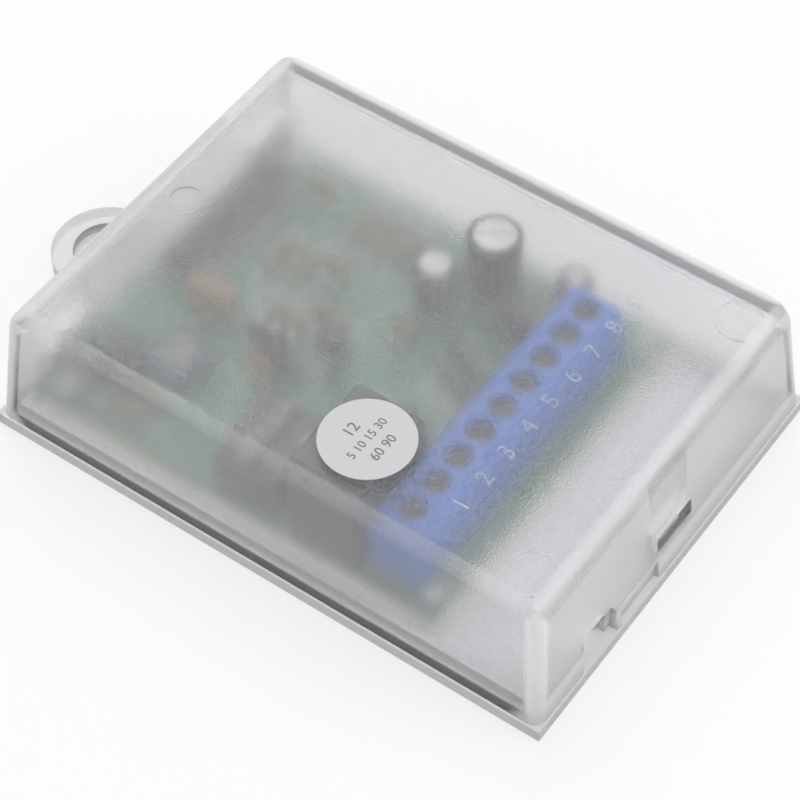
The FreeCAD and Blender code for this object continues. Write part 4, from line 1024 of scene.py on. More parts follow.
def stand_copies(source: bpy.types.Mesh, places: list[Place], finish: Look) -> bpy.types.Mesh:
    """Stand a copy of one mesh at each place.

    Args:
        source: the mesh to repeat, about its own origin.
        places: where each copy stands, and its turns in degrees.
        finish: the finish of the copies.

    Returns:
        All the copies as one plain mesh.
    """
    base = bpy.data.meshes.new("places")
    base.from_pydata([tuple(spot) for spot, _ in places], [], [])
    turns = base.attributes.new("turn", "FLOAT_VECTOR", "POINT")
    for entry, (_, degrees) in zip(turns.data, places):
        entry.vector = [math.radians(value) for value in degrees]
    helper = bpy.data.objects.new("copy_source", source)
    bpy.context.collection.objects.link(helper)
    growth = Growth("copies_at_places")
    shape = growth.add("GeometryNodeObjectInfo", None, {"Object": growth.size("Source", "Object", helper)})
    turn = growth.add("GeometryNodeInputNamedAttribute", {"data_type": "FLOAT_VECTOR"}, {"Name": "turn"})
    size = growth.size("Scale", "Float", 1.0)
    scale = growth.add("ShaderNodeCombineXYZ", None, {"X": size, "Y": size, "Z": size})
    copies = growth.add("GeometryNodeInstanceOnPoints", None,
                        {"Points": growth.start.outputs[0], "Instance": shape.outputs["Geometry"],
                         "Rotation": turn.outputs[0], "Scale": scale.outputs[0]})
    growth.finish(copies.outputs[0], finish)
    mesh = growth.run(base)
    bpy.data.objects.remove(helper)
    smooth(mesh)
    return mesh


def add_copies(name: str, source: bpy.types.Mesh, places: list[Place], body: str, finish: Look,
               *stands_for: str) -> None:
    """Add one piece made of copies of a mesh.

    Args:
        name: the piece's name.
        source: the mesh to repeat, about its own origin.
        places: where each copy stands, and its turns in degrees.
        body: the body it moves with.
        finish: its finish.
        stands_for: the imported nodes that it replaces.
    """
    add_piece(name, stand_copies(source, places, finish), body, finish, *stands_for)


def cut_slots(blank: bpy.types.Mesh, top: float, slot: Point, arms: int, finish: Look) -> bpy.types.Mesh:
    """Cut slots across the top of a blank, a thousand times enlarged so that small faces meet well.

    Args:
        blank: the mesh to cut, about its own axis.
        top: the height of its top.
        slot: length, width and depth of one slot.
        arms: how many slots cross.
        finish: the finish of the result.

    Returns:
        The cut mesh.
    """
    large = blank.copy()
    large.transform(Matrix.Scale(1 / MM, 4))
    growth = Growth("slots_across_a_top")
    length = growth.size("Slot length", "Float", slot[0] / MM)
    width = growth.size("Slot width", "Float", slot[1] / MM)
    depth = growth.size("Slot depth", "Float", slot[2] / MM)
    height = growth.size("Top height", "Float", top / MM)
    count = growth.size("Arms", "Int", arms)
    twice = growth.add("ShaderNodeMath", {"operation": "MULTIPLY"}, {0: depth, 1: 2.0})
    bar_size = growth.add("ShaderNodeCombineXYZ", None, {"X": length, "Y": width, "Z": twice.outputs[0]})
    bar = growth.add("GeometryNodeMeshCube", None, {"Size": bar_size.outputs[0]})
    middle = growth.add("ShaderNodeCombineXYZ", None, {"Z": height})
    spots = growth.add("GeometryNodeMeshLine", {"mode": "OFFSET"},
                       {"Count": count, "Start Location": middle.outputs[0], "Offset": (0.0, 0.0, 0.0)})
    share = growth.add("ShaderNodeMath", {"operation": "DIVIDE"}, {0: math.pi, 1: count})
    number = growth.add("GeometryNodeInputIndex")
    angle = growth.add("ShaderNodeMath", {"operation": "MULTIPLY"},
                       {0: share.outputs[0], 1: number.outputs[0]})
    turn = growth.add("ShaderNodeCombineXYZ", None, {"Z": angle.outputs[0]})
    bars = growth.add("GeometryNodeInstanceOnPoints", None,
                      {"Points": spots.outputs[0], "Instance": bar.outputs[0], "Rotation": turn.outputs[0]})
    solid = growth.add("GeometryNodeRealizeInstances", None, {"Geometry": bars.outputs[0]})
    cut = growth.add("GeometryNodeMeshBoolean", {"operation": "DIFFERENCE", "solver": "EXACT"},
                     {"Mesh 1": growth.start.outputs[0], "Mesh 2": solid.outputs[0],
                      "Self Intersection": True})
    growth.finish(cut.outputs[0], finish)
    mesh = growth.run(large)
    mesh.transform(Matrix.Scale(MM, 4))
    work = bmesh.new()
    work.from_mesh(mesh)
    bmesh.ops.remove_doubles(work, verts=work.verts, dist=2 * WELD)
    bmesh.ops.dissolve_degenerate(work, dist=WELD, edges=work.edges)
    bmesh.ops.holes_fill(work, edges=[edge for edge in work.edges if edge.is_boundary], sides=4)
    work.to_mesh(mesh)
    work.free()
    smooth(mesh)
    return mesh


def paths_mesh(paths: list[list[Point]]) -> bpy.types.Mesh:
    """Make a mesh of edges only.

    Args:
        paths: the corners of each path.

    Returns:
        The mesh, with one chain of edges for each path.
    """
    base = bpy.data.meshes.new("paths")
    corners = [tuple(corner) for path in paths for corner in path]
    edges = []
    start = 0
    for path in paths:
        edges += [(start + step, start + step + 1) for step in range(len(path) - 1)]
        start += len(path)
    base.from_pydata(corners, edges, [])
    return base


def run_wires(paths: list[list[Point]], radius: float, bend: float, finish: Look) -> bpy.types.Mesh:
    """Run round wires along paths with rounded bends.

    Args:
        paths: the corners of each wire.
        radius: the wire's radius.
        bend: the radius of its bends.
        finish: its finish.

    Returns:
        The wires as one plain mesh.
    """
    growth = Growth("wires_on_paths")
    line = growth.add("GeometryNodeMeshToCurve", None, {"Mesh": growth.start.outputs[0]})
    bent = growth.add("GeometryNodeFilletCurve", {"mode": "POLY"},
                      {"Curve": line.outputs[0], "Radius": growth.size("Bend", "Float", bend),
                       "Count": BEND_STEPS, "Limit Radius": True})
    ring = growth.add("GeometryNodeCurvePrimitiveCircle", None,
                      {"Resolution": WIRE_SIDES, "Radius": growth.size("Radius", "Float", radius)})
    swept = growth.add("GeometryNodeCurveToMesh", None,
                       {"Curve": bent.outputs[0], "Profile Curve": ring.outputs[0], "Fill Caps": True})
    growth.finish(swept.outputs[0], finish)
    mesh = growth.run(paths_mesh(paths))
    smooth(mesh)
    return mesh


def run_ribbons(paths: list[list[Point]], width: float, thick: float, finish: Look) -> bpy.types.Mesh:
    """Lay flat ribbons along paths.

    Args:
        paths: the corners of each ribbon.
        width: width of the ribbons.
        thick: their thickness.
        finish: their finish.

    Returns:
        The ribbons as one plain mesh.
    """
    growth = Growth("ribbons_on_paths")
    line = growth.add("GeometryNodeMeshToCurve", None, {"Mesh": growth.start.outputs[0]})
    outline = growth.add("GeometryNodeCurvePrimitiveQuadrilateral", {"mode": "RECTANGLE"},
                         {"Width": growth.size("Width", "Float", width),
                          "Height": growth.size("Thickness", "Float", thick)})
    swept = growth.add("GeometryNodeCurveToMesh", None,
                       {"Curve": line.outputs[0], "Profile Curve": outline.outputs[0], "Fill Caps": True})
    growth.finish(swept.outputs[0], finish)
    return growth.run(paths_mesh(paths))


# Pieces.

def dress_nodes(slots: dict[str, str]) -> None:
    """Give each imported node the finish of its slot.

    Args:
        slots: slot name by node name.
    """
    for node, slot in slots.items():
        thing = bpy.data.objects[node]
        thing.data.materials.clear()
        thing.data.materials.append(Finish[slot].material())
        LOG.info("dressed %s in %s", node, slot)


@dataclass
class Case:
    """The figures on the lid and its label."""

    rows: tuple[tuple[str, float], ...] = (("12", 2.3 * MM), ("5 10 15 30", 1.75 * MM), ("60 90", 2.0 * MM))
    row_gap: float = 2.5 * MM
    ink_depth: float = 0.02 * MM
    reading_turn: float = 90
    number_size: float = 3.6 * MM
    number_rise: float = 0.10 * MM
    number_lift: float = 0.002 * MM
    number_gap: float = 3.2 * MM
    ways: int = 9

    def build(self) -> None:
        """Print the label and raise a number beside each way."""
        low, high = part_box("round_label")
        middle = (low + high) / 2
        printed = []
        for number, (figures, size) in enumerate(self.rows):
            x = middle.x + (number - 1) * self.row_gap
            spot = (x, middle.y, high.z)
            printed.append(words(figures, size, spot, self.reading_turn, self.ink_depth))
        add_piece("label_figures", joined(printed, "label_figures"), "lid", Trim.label_ink)
        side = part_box("terminal_housing")[1].x + self.number_gap
        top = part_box("lid")[1].z + self.number_lift
        raised = []
        for way in range(1, self.ways + 1):
            low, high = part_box(f"terminal_screw_{way}")
            spot = (side, (low.y + high.y) / 2, top)
            raised.append(words(str(way), self.number_size, spot, self.reading_turn, self.number_rise))
        add_piece("way_numbers", joined(raised, "way_numbers"), "lid", Finish.lid_plastic)


@dataclass
class Board:
    """The board's solder joints, tracks, printed outlines and screws."""

    lead_nodes: tuple[str, ...] = (
        "terminal_pins", "timer_chip_pins", "tall_capacitor_can", "low_capacitor_can",
        "small_capacitor_can", "relay_terminals", "switch_block", "trimmer_body", "start_button_body",
        "mode_header_pins", "status_lamp", "transistors", "resistors", "diodes", "ceramic_discs",
        "resonator")
    outlined: tuple[str, ...] = (
        "timer_chip_pins", "relay_cover", "switch_block", "trimmer_body", "start_button_body",
        "mode_header", "resonator", "terminal_housing")
    round_ones: tuple[str, ...] = (
        "tall_capacitor_sleeve", "low_capacitor_sleeve", "small_capacitor_sleeve")
    pad_radius: float = 0.80 * MM
    joint_height: float = 0.80 * MM
    joint_outline: Outline = (
        (0, -1), (0.45, -1), (0.52, -0.7), (0.68, -0.35), (1, -0.06), (1, 0), (0, 0))
    collar_outline: Outline = ((0, 0), (1, 0), (1, 0.05), (0.6, 0.10), (0, 0.12))
    joint_sides: int = 14
    tracks_each: int = 2
    track_width: float = 0.45 * MM
    track_depth: float = 0.035 * MM
    track_span: tuple[float, float] = (3.2 * MM, 15.0 * MM)
    ink_width: float = 0.16 * MM
    ink_depth: float = 0.02 * MM
    margin: float = 0.45 * MM
    ring_steps: int = 32
    lying_half: tuple[float, float] = (3.6 * MM, 1.7 * MM)
    figure_size: float = 1.7 * MM
    figure_shift: float = 2.7 * MM
    head_radius: float = 2.2 * MM
    shank_radius: float = 1.0 * MM
    head_sides: int = 36
    head_slot: Point = (2.6 * MM, 0.7 * MM, 0.8 * MM)
    head_turns: tuple[float, ...] = (20, 57)
    under: float = field(default=0.0, init=False)
    top: float = field(default=0.0, init=False)

    def build(self) -> None:
        """Solder, tracks, outlines and screws."""
        low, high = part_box("circuit_board")
        self.under = low.z
        self.top = high.z
        ends = lead_ends(*self.lead_nodes)
        self.solder(ends)
        self.tracks(ends)
        self.outlines()
        self.screws()

    def solder(self, ends: list[Vector]) -> None:
        """Set a joint under the board and a small collar on it at every lead.

        Args:
            ends: the leads' ends.
        """
        cone = turned(scaled(self.joint_outline, self.pad_radius, self.joint_height), self.joint_sides)
        collar = turned(scaled(self.collar_outline, self.pad_radius, MM), self.joint_sides)
        for name, source, z in (("solder_joints", cone, self.under), ("solder_collars", collar, self.top)):
            add_copies(name, source, [((end.x, end.y, z), (0, 0, 0)) for end in ends], "case", Trim.solder)

    def tracks(self, ends: list[Vector]) -> None:
        """Lay tracks with one slanting end each, from lead to lead on both faces.

        Args:
            ends: the leads' ends.
        """
        shortest, longest = self.track_span
        uses = [0] * len(ends)
        faces: tuple[list, list] = ([], [])
        for first, start in enumerate(ends):
            order = sorted(range(first + 1, len(ends)), key=lambda other: (ends[other] - start).length)
            for second in order:
                gap = (ends[second] - start).length
                if max(uses[first], uses[second]) < self.tracks_each and shortest < gap < longest:
                    uses[first] += 1
                    uses[second] += 1
                    faces[(first + second) % 2].append(self.route(start, ends[second]))
                    break
        for name, z, routes in (("top_tracks", self.top, faces[0]), ("under_tracks", self.under, faces[1])):
            paths = [[(x, y, z) for x, y in route] for route in routes]
            mesh = run_ribbons(paths, self.track_width, self.track_depth, Trim.track_copper)
            add_piece(name, mesh, "case", Trim.track_copper)

    def route(self, start: Vector, end: Vector) -> list[tuple[float, float]]:
        """Join two points by a straight run and then a slanting one.

        Args:
            start: the first point.
            end: the last point.

        Returns:
            The run's corners, seen from above.
        """
        dx = end.x - start.x
        dy = end.y - start.y
        if abs(dx) > abs(dy):
            corner = (start.x + math.copysign(abs(dx) - abs(dy), dx), start.y)
        else:
            corner = (start.x, start.y + math.copysign(abs(dy) - abs(dx), dy))
        return [(start.x, start.y), corner, (end.x, end.y)]

    def outlines(self) -> None:
        """Printed outlines round the parts, and a number by each resistor."""
        boxes = [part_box(node) for node in self.outlined]
        gap = Vector((self.margin, self.margin, 0))
        paths = [self.frame(low - gap, high + gap) for low, high in boxes]
        for node in self.round_ones:
            low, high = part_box(node)
            middle = (low + high) / 2
            radius = (high.x - low.x) / 2 + self.margin
            turns = [2 * math.pi * step / self.ring_steps for step in range(self.ring_steps + 1)]
            paths.append([(middle.x + radius * math.cos(a), middle.y + radius * math.sin(a), self.top)
                          for a in turns])
        figures = []
        length, width = self.lying_half
        for number, (low, high) in enumerate(lumps("resistors") + lumps("diodes"), start=1):
            middle = (low + high) / 2
            if high.x - low.x > high.y - low.y:
                half, shift, turn = Vector((length, width, 0)), Vector((0, self.figure_shift, 0)), 0
            else:
                half, shift, turn = Vector((width, length, 0)), Vector((self.figure_shift, 0, 0)), 90
            paths.append(self.frame(middle - half, middle + half))
            spot = (middle.x + shift.x, middle.y + shift.y, self.top)
            figures.append(words(str(number), self.figure_size, spot, turn, self.ink_depth))
        mesh = run_ribbons(paths, self.ink_width, self.ink_depth * 2, Trim.outline_ink)
        add_piece("printed_outlines", mesh, "case", Trim.outline_ink)
        add_piece("printed_figures", joined(figures, "printed_figures"), "case", Trim.outline_ink)

    def frame(self, low: Vector, high: Vector) -> list[Point]:
        """Draw a closed rectangle on the board's top.

        Args:
            low: its lowest corner.
            high: its highest corner.

        Returns:
            Its corners, with the first one again at the end.
        """
        z = self.top
        return [(low.x, low.y, z), (high.x, low.y, z), (high.x, high.y, z), (low.x, high.y, z),
                (low.x, low.y, z)]

    def screws(self) -> None:
        """The two pan-head screws with crossed slots."""
        low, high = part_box("board_screws")
        head = high.z - self.top
        tip = low.z - self.top
        r = self.head_radius
        shank = self.shank_radius
        blank = turned([(0, tip), (shank, tip + 0.2 * MM), (shank, 0), (r * 0.97, 0), (r, 0.15 * MM),
                        (r, head * 0.45), (r * 0.92, head * 0.75), (r * 0.7, head * 0.95),
                        (r * 0.45, head), (0, head)], self.head_sides)
        screw = cut_slots(blank, head, self.head_slot, 2, Finish.board_screw_steel)
        boxes = lumps("board_screws")
        spots = [axis_place(box, self.top, turn) for box, turn in zip(boxes, self.head_turns)]
        add_copies("board_screw_pair", screw, spots, "case", Finish.board_screw_steel, "board_screws")


@dataclass
class Terminals:
    """The screw terminal block with its screws and clamps."""

    housing_round: float = 0.14 * MM
    clamp_round: float = 0.07 * MM
    head_radius: float = 1.7 * MM
    head_height: float = 1.5 * MM
    thread_radius: float = 1.2 * MM
    thread_pitch: float = 0.5 * MM
    screw_sides: int = 28
    slot: Point = (5.0 * MM, 0.5 * MM, 0.7 * MM)
    turns: tuple[float, ...] = (12, 64, 151, 38, 95, 172, 27, 118, 80)

    def build(self) -> None:
        """Round the housing and clamps, and set one turned screw in each way."""
        rounded("terminal_housing", "case", Finish.terminal_plastic, self.housing_round)
        low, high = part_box("terminal_screw_1")
        screw = self.screw(low.z - high.z)
        for way, turn in enumerate(self.turns, start=1):
            low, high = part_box(f"terminal_screw_{way}")
            spot = axis_place((low, high), high.z, turn)
            add_copies(f"slotted_screw_{way}", screw, [spot], f"terminal_screw_{way}", Finish.screw_steel,
                       f"terminal_screw_{way}")
            rounded(f"wire_clamp_{way}", f"wire_clamp_{way}", Finish.clamp_steel, self.clamp_round)

    def screw(self, bottom: float) -> bpy.types.Mesh:
        """Make one slotted screw.

        Args:
            bottom: the height of its lower end, where its head's top is at zero.

        Returns:
            Its mesh, about its own axis.
        """
        r = self.head_radius
        thread = self.thread_radius
        seat = -self.head_height
        profile = [(0, bottom), (thread * 0.7, bottom)]
        z = bottom + 0.2 * MM
        while z < seat - self.thread_pitch:
            profile += [(thread, z), (thread * 0.86, z + self.thread_pitch / 2)]
            z += self.thread_pitch
        profile += [(thread, seat), (r * 0.95, seat), (r, seat + 0.08 * MM), (r, -0.2 * MM),
                    (r * 0.95, -0.06 * MM), (r * 0.85, 0), (0, 0)]
        return cut_slots(turned(profile, self.screw_sides), 0.0, self.slot, 1, Finish.screw_steel)


@dataclass
class Chip:
    """The timer chip's moulded case."""

    edge: float = 0.16 * MM

    def build(self) -> None:
        """Soften the case's edges."""
        rounded("timer_chip", "case", Finish.chip_plastic, self.edge)


@dataclass
class Capacitors:
    """Three cans in striped sleeves, with a scored vent on top."""

    sizes: tuple[tuple[str, float], ...] = (("tall", 215), ("low", 140), ("small", 250))
    top_edge: float = 0.95 * MM
    groove: float = 0.35 * MM
    vent: tuple[float, float] = (0.22 * MM, 0.12 * MM)
    vent_inset: float = 1.2 * MM
    wire_radius: float = 0.3 * MM
    wire_top: float = 7.0 * MM
    sides: int = 48

    def build(self) -> None:
        """Build each capacitor."""
        for size, turn in self.sizes:
            low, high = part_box(f"{size}_capacitor_sleeve")
            self.sleeve(size, (low, high), turn)
            self.can(size, (low, high), turn)

    def sleeve(self, size: str, box: Box, turn: float) -> None:
        """The shrunk sleeve, with its crimp and turned-in rim.

        Args:
            size: which capacitor it is.
            box: the sleeve's lowest and highest corners.
            turn: where its stripe is, in degrees.
        """
        low = box[0].z
        high = box[1].z
        r = (box[1].x - box[0].x) / 2
        groove = self.groove
        rim = r - self.top_edge
        profile = [(0, low), (r - 0.5 * MM, low), (r - 0.12 * MM, low + 0.15 * MM), (r, low + 0.5 * MM),
                   (r, low + 1.0 * MM), (r - 0.7 * groove, low + 1.35 * MM), (r - groove, low + 1.6 * MM),
                   (r - 0.7 * groove, low + 1.85 * MM), (r, low + 2.2 * MM), (r, high - 0.45 * MM),
                   (r - 0.10 * MM, high - 0.15 * MM), (r - 0.35 * MM, high), (rim, high - 0.03 * MM),
                   (rim - 0.05 * MM, high - 0.12 * MM), (0, high - 0.12 * MM)]
        mesh = turned(profile, self.sides)
        spot, _ = axis_place(box)
        mesh.transform(Matrix.Translation(spot) @ Matrix.Rotation(math.radians(turn), 4, "Z"))
        add_piece(f"{size}_sleeve_film", mesh, "case", Finish.sleeve_film, f"{size}_capacitor_sleeve")

    def can(self, size: str, box: Box, turn: float) -> None:
        """The can's crowned top with its vent, and the two wires.

        Args:
            size: which capacitor it is.
            box: the sleeve's lowest and highest corners.
            turn: the turn of its vent, in degrees.
        """
        rim = box[1].z
        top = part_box(f"{size}_capacitor_can")[1].z
        r = (box[1].x - box[0].x) / 2 - self.top_edge
        blank = turned([(0, rim - 0.6 * MM), (r, rim - 0.6 * MM), (r, rim),
                        (r - 0.12 * MM, top - 0.03 * MM), (r - 0.35 * MM, top), (0, top)], self.sides)
        disc = cut_slots(blank, top, (2 * r - self.vent_inset, *self.vent), 2, Finish.can_metal)
        crown = stand_copies(disc, [axis_place(box, 0.0, turn)], Finish.can_metal)
        wires = [[(end.x, end.y, LEAD_FOOT), (end.x, end.y, self.wire_top)]
                 for end in lead_ends(f"{size}_capacitor_can")]
        mesh = joined([crown, run_wires(wires, self.wire_radius, 0.0, Finish.can_metal)], f"{size}_can_top")
        add_piece(f"{size}_can_top", mesh, "case", Finish.can_metal, f"{size}_capacitor_can")


@dataclass
class Relay:
    """The relay's cover."""

    edge: float = 0.20 * MM

    def build(self) -> None:
        """Soften the cover's edges."""
        rounded("relay_cover", "case", Finish.relay_plastic, self.edge)


@dataclass
class Controls:
    """The setting switches, trimmer, start button, mode header with its link, and lamp."""

    board_top: float = 6.0 * MM
    sliders: int = 4
    edge: float = 0.12 * MM
    sides: int = 40
    rotor_slot: Point = (3.4 * MM, 0.6 * MM, 0.9 * MM)
    rivet_inset: float = 0.85 * MM
    rivet_radius: float = 0.35 * MM
    rivet_sides: int = 12
    pin_edge: float = 0.10 * MM
    lens_inset: float = 0.15 * MM
    lens_height: float = 4.8 * MM
    dome_steps: int = 8
    leg_radius: float = 0.28 * MM
    leg_bend: float = 0.2 * MM

    def build(self) -> None:
        """Build each control."""
        rounded("switch_block", "case", Finish.switch_plastic, self.edge, self.board_top)
        for number in range(1, self.sliders + 1):
            rounded(f"switch_slider_{number}", f"switch_slider_{number}", Finish.slider_plastic, self.edge)
        rounded("trimmer_body", "case", Finish.trimmer_plastic, self.edge, self.board_top)
        self.rotor()
        rounded("start_button_body", "case", Finish.button_plastic, self.edge, self.board_top)
        self.plunger()
        rounded("mode_header", "case", Finish.header_plastic, self.edge)
        rounded("mode_header_pins", "case", Finish.tinned_brass, self.pin_edge)
        rounded("mode_link", "mode_link", Finish.link_plastic, self.edge)
        self.lamp()

    def rotor(self) -> None:
        """The trimmer's slotted rotor."""
        low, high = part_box("trimmer_rotor")
        r = (high.x - low.x) / 2
        blank = turned([(0, low.z), (r, low.z), (r, high.z - 0.2 * MM), (r - 0.06 * MM, high.z - 0.06 * MM),
                        (r - 0.2 * MM, high.z), (0, high.z)], self.sides)
        cut = cut_slots(blank, high.z, self.rotor_slot, 1, Finish.rotor_plastic)
        add_copies("slotted_rotor", cut, [axis_place((low, high))], "trimmer_rotor", Finish.rotor_plastic,
                   "trimmer_rotor")

    def plunger(self) -> None:
        """The button's plunger and the rivets of its frame."""
        low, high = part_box("start_button_plunger")
        r = (high.x - low.x) / 2
        blank = turned([(0, low.z), (r - 0.2 * MM, low.z), (r, low.z + 0.2 * MM), (r, high.z - 0.35 * MM),
                        (r - 0.10 * MM, high.z - 0.12 * MM), (r - 0.35 * MM, high.z), (0, high.z)],
                       self.sides)
        add_copies("round_plunger", blank, [axis_place((low, high))], "start_button", Finish.button_plastic,
                   "start_button_plunger")
        low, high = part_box("start_button_body")
        r = self.rivet_radius
        rivet = turned([(0, -0.1 * MM), (r, -0.1 * MM), (r, 0.05 * MM), (r * 0.7, 0.18 * MM),
                        (0, 0.22 * MM)], self.rivet_sides)
        inset = self.rivet_inset
        spots = [((x, y, high.z), (0, 0, 0)) for x in (low.x + inset, high.x - inset)
                 for y in (low.y + inset, high.y - inset)]
        add_copies("button_rivets", rivet, spots, "case", Finish.button_plastic)

    def lamp(self) -> None:
        """The status lamp: a flanged lens on two legs that reach up inside it."""
        low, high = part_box("status_lamp")
        ends = lead_ends("status_lamp")
        middle = sum(ends, Vector()) / len(ends)
        flange = (high.x - low.x) / 2
        r = flange - self.lens_inset
        foot = high.z - self.lens_height
        profile = [(0, foot), (flange, foot), (flange, foot + 0.7 * MM), (r, foot + 0.8 * MM)]
        for step in range(self.dome_steps):
            angle = math.pi / 2 * step / self.dome_steps
            profile.append((r * math.cos(angle), high.z - r + r * math.sin(angle)))
        profile.append((0, high.z))
        mesh = turned(profile, self.sides)
        mesh.transform(Matrix.Translation((middle.x, middle.y, 0)))
        add_piece("lamp_dome", mesh, "case", Finish.lamp_lens, "status_lamp")
        wires = [[(end.x, end.y, LEAD_FOOT), (end.x, end.y, foot + 0.4 * MM),
                  (end.x, (end.y + middle.y * 3) / 4, foot + 1.6 * MM)] for end in ends]
        legs = run_wires(wires, self.leg_radius, self.leg_bend, Finish.tinned_steel)
        add_piece("lamp_legs", legs, "case", Finish.tinned_steel)


@dataclass
class SmallParts:
    """Resistors, diodes, ceramic discs, transistors and the resonator."""

    axis_height: float = 7.4 * MM
    half_span: float = 5.0 * MM
    wire_radius: float = 0.28 * MM
    bend: float = 0.7 * MM
    disc_radius: float = 2.4 * MM
    disc_half: float = 0.8 * MM
    disc_pitch: float = 2.54 * MM
    disc_sides: int = 32
    disc_outline: Outline = ((0, 1), (0.55, 0.97), (0.82, 0.78), (0.96, 0.42), (1, 0))
    resistor_sides: int = 24
    resistor_outline: Outline = (
        (0, 3.0), (0.75, 3.0), (1.14, 2.85), (1.28, 2.45), (1.26, 2.0), (1.15, 1.6), (1.12, 0.8))
    diode_sides: int = 28
    diode_outline: Outline = ((0, 2.5), (1.0, 2.5), (1.3, 2.35), (1.35, 2.1), (1.35, 0))
    transistor_edge: float = 0.14 * MM
    transistor_foot: float = 7.95 * MM
    resonator_edge: float = 0.22 * MM
    resonator_foot: float = 6.28 * MM
    wires: list[list[Point]] = field(default_factory=list)

    def build(self) -> None:
        """Build every small part, then the wires that carry them."""
        self.resistors()
        self.diodes()
        self.discs()
        rounded("transistors", "case", Finish.transistor_plastic, self.transistor_edge,
                self.transistor_foot)
        rounded("resonator", "case", Finish.resonator_case, self.resonator_edge, self.resonator_foot)
        mesh = run_wires(self.wires, self.wire_radius, self.bend, Finish.tinned_steel)
        add_piece("part_wires", mesh, "case", Finish.tinned_steel)

    def lying(self, node: str) -> list[Place]:
        """Find the lying parts of a node, and note their wires.

        Args:
            node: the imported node.

        Returns:
            Where each part is, and how it is turned.
        """
        places = []
        z = self.axis_height
        for low, high in lumps(node):
            middle = (low + high) / 2
            along_x = high.x - low.x > high.y - low.y
            reach = Vector((self.half_span, 0, 0)) if along_x else Vector((0, self.half_span, 0))
            first = middle - reach
            last = middle + reach
            self.wires.append([(first.x, first.y, LEAD_FOOT), (first.x, first.y, z), (last.x, last.y, z),
                               (last.x, last.y, LEAD_FOOT)])
            places.append(((middle.x, middle.y, z), (0, 90, 0) if along_x else (90, 0, 0)))
        return places

    def resistors(self) -> None:
        """Lacquered bodies with bulged ends and colour bands."""
        body = turned(mirrored(self.resistor_outline, MM, MM), self.resistor_sides)
        places = self.lying("resistors")
        add_copies("banded_resistors", body, places[::2], "case", Finish.resistor_lacquer, "resistors")
        add_copies("other_resistors", body, places[1::2], "case", Trim.second_bands)

    def diodes(self) -> None:
        """Moulded bodies with one pale band."""
        body = turned(mirrored(self.diode_outline, MM, MM), self.diode_sides)
        add_copies("banded_diodes", body, self.lying("diodes"), "case", Finish.diode_plastic, "diodes")

    def discs(self) -> None:
        """Dipped ceramic discs on two wires."""
        r = self.disc_radius
        places = []
        for low, high in lumps("ceramic_discs"):
            x = (low.x + high.x) / 2
            y = (low.y + high.y) / 2
            z = high.z - r
            places.append(((x, y, z), (90, 0, 0)))
            for side in (-1, 1):
                leg = x + side * self.disc_pitch / 2
                self.wires.append([(leg, y, LEAD_FOOT), (leg, y, z - 0.6 * r)])
        disc = turned(mirrored(self.disc_outline, r, self.disc_half), self.disc_sides)
        add_copies("dipped_discs", disc, places, "case", Finish.disc_ceramic, "ceramic_discs")


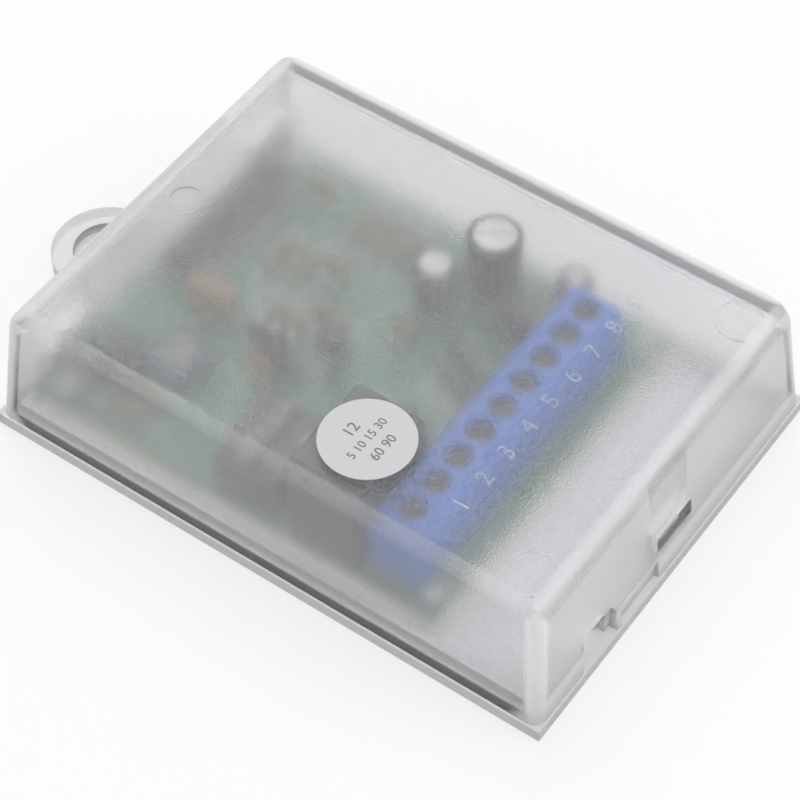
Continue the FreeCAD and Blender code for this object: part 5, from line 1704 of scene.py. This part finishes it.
@dataclass
class Studio:
    """Floor, world light, lamps and the camera at the photograph's angle."""

    camera_place: Point = (0.13674, -0.18647, 0.29303)
    camera_right: Point = (0.81414, 0.58057, -0.01092)
    camera_up: Point = (-0.44835, 0.64046, 0.62353)
    camera_back: Point = (0.369, -0.50275, 0.78172)
    lens: float = 122.02
    sensor_width: float = 36.0
    clip_start: float = 0.01
    floor_half: float = 1.5
    floor_colour: Colour = (0.93, 0.93, 0.93)
    floor_roughness: float = 0.9
    floor_glow: float = 0.72
    world_strength: float = 0.62
    lamps: tuple[tuple[Point, float, float], ...] = (
        ((-0.30, 0.25, 0.60), 0.50, 1.5),
        ((0.45, 0.20, 0.40), 0.45, 0.9),
        ((0.10, -0.60, 0.35), 0.60, 0.6),
    )

    def build(self) -> None:
        """Build the whole studio."""
        self.floor()
        self.world()
        self.lights()
        self.camera()
        bpy.context.scene.view_settings.view_transform = "Standard"

    def floor(self) -> None:
        """A plain pale floor that keeps the object's shadow."""
        mesh = bpy.data.meshes.new("floor")
        h = self.floor_half
        mesh.from_pydata([(-h, -h, 0), (h, -h, 0), (h, h, 0), (-h, h, 0)], [], [(0, 1, 2, 3)])
        thing = bpy.data.objects.new("floor", mesh)
        bpy.context.collection.objects.link(thing)
        shader = Shader("floor_paint")
        shader.set(Base_Color=self.floor_colour, Roughness=self.floor_roughness)
        glow = new_node(shader.tree, "ShaderNodeEmission", None, {"Color": (1, 1, 1), "Strength": 1.0})
        shader.blend(self.sees_white(shader.tree) * self.floor_glow, glow)
        mesh.materials.append(shader.material)

    def sees_white(self, tree: bpy.types.NodeTree) -> Socket:
        """Tell the rays that see a white background.

        Args:
            tree: the tree to add the nodes to.

        Returns:
            One for a ray of the camera, of gloss or through clear plastic, else zero.
        """
        path = new_node(tree, "ShaderNodeLightPath")
        seen = Socket(tree, path.outputs["Is Camera Ray"])
        for name in ("Is Glossy Ray", "Is Transmission Ray"):
            seen = seen.larger(Socket(tree, path.outputs[name]))
        return seen

    def world(self) -> None:
        """Even white light, which the camera, gloss and clear plastic see at full white."""
        world = bpy.data.worlds.new("studio_world")
        world.use_nodes = True
        bpy.context.scene.world = world
        tree = world.node_tree
        back = next(node for node in tree.nodes if node.bl_idname == "ShaderNodeBackground")
        strength = self.sees_white(tree) * (1 - self.world_strength) + self.world_strength
        fill(tree, back, {"Color": (1, 1, 1), "Strength": strength})

    def lights(self) -> None:
        """Large soft lamps round the object."""
        for number, (place, size, power) in enumerate(self.lamps, start=1):
            data = bpy.data.lights.new(f"soft_lamp_{number}", "AREA")
            data.shape = "DISK"
            data.size = size
            data.energy = power
            lamp = bpy.data.objects.new(data.name, data)
            bpy.context.collection.objects.link(lamp)
            lamp.location = place
            lamp.rotation_euler = Vector(place).to_track_quat("Z", "Y").to_euler()

    def camera(self) -> None:
        """The camera, fitted to the corners of the object in the photograph."""
        data = bpy.data.cameras.new("camera")
        data.lens = self.lens
        data.sensor_width = self.sensor_width
        data.clip_start = self.clip_start
        thing = bpy.data.objects.new("camera", data)
        bpy.context.collection.objects.link(thing)
        turn = Matrix((self.camera_right, self.camera_up, self.camera_back)).transposed()
        thing.matrix_world = Matrix.Translation(self.camera_place) @ turn.to_4x4()
        bpy.context.scene.camera = thing


def main() -> None:
    """Build every piece in order."""
    logging.basicConfig(level=logging.INFO, format="%(name)s: %(message)s")
    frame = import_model()
    Studio().build()
    dress_nodes({part["node"]: part["material_slot"] for part in frame["record"]["subparts"]})
    for assembly in (Case(), Board(), Terminals(), Chip(), Capacitors(), Relay(), Controls(), SmallParts()):
        assembly.build()


if __name__ == "__main__":
    main()
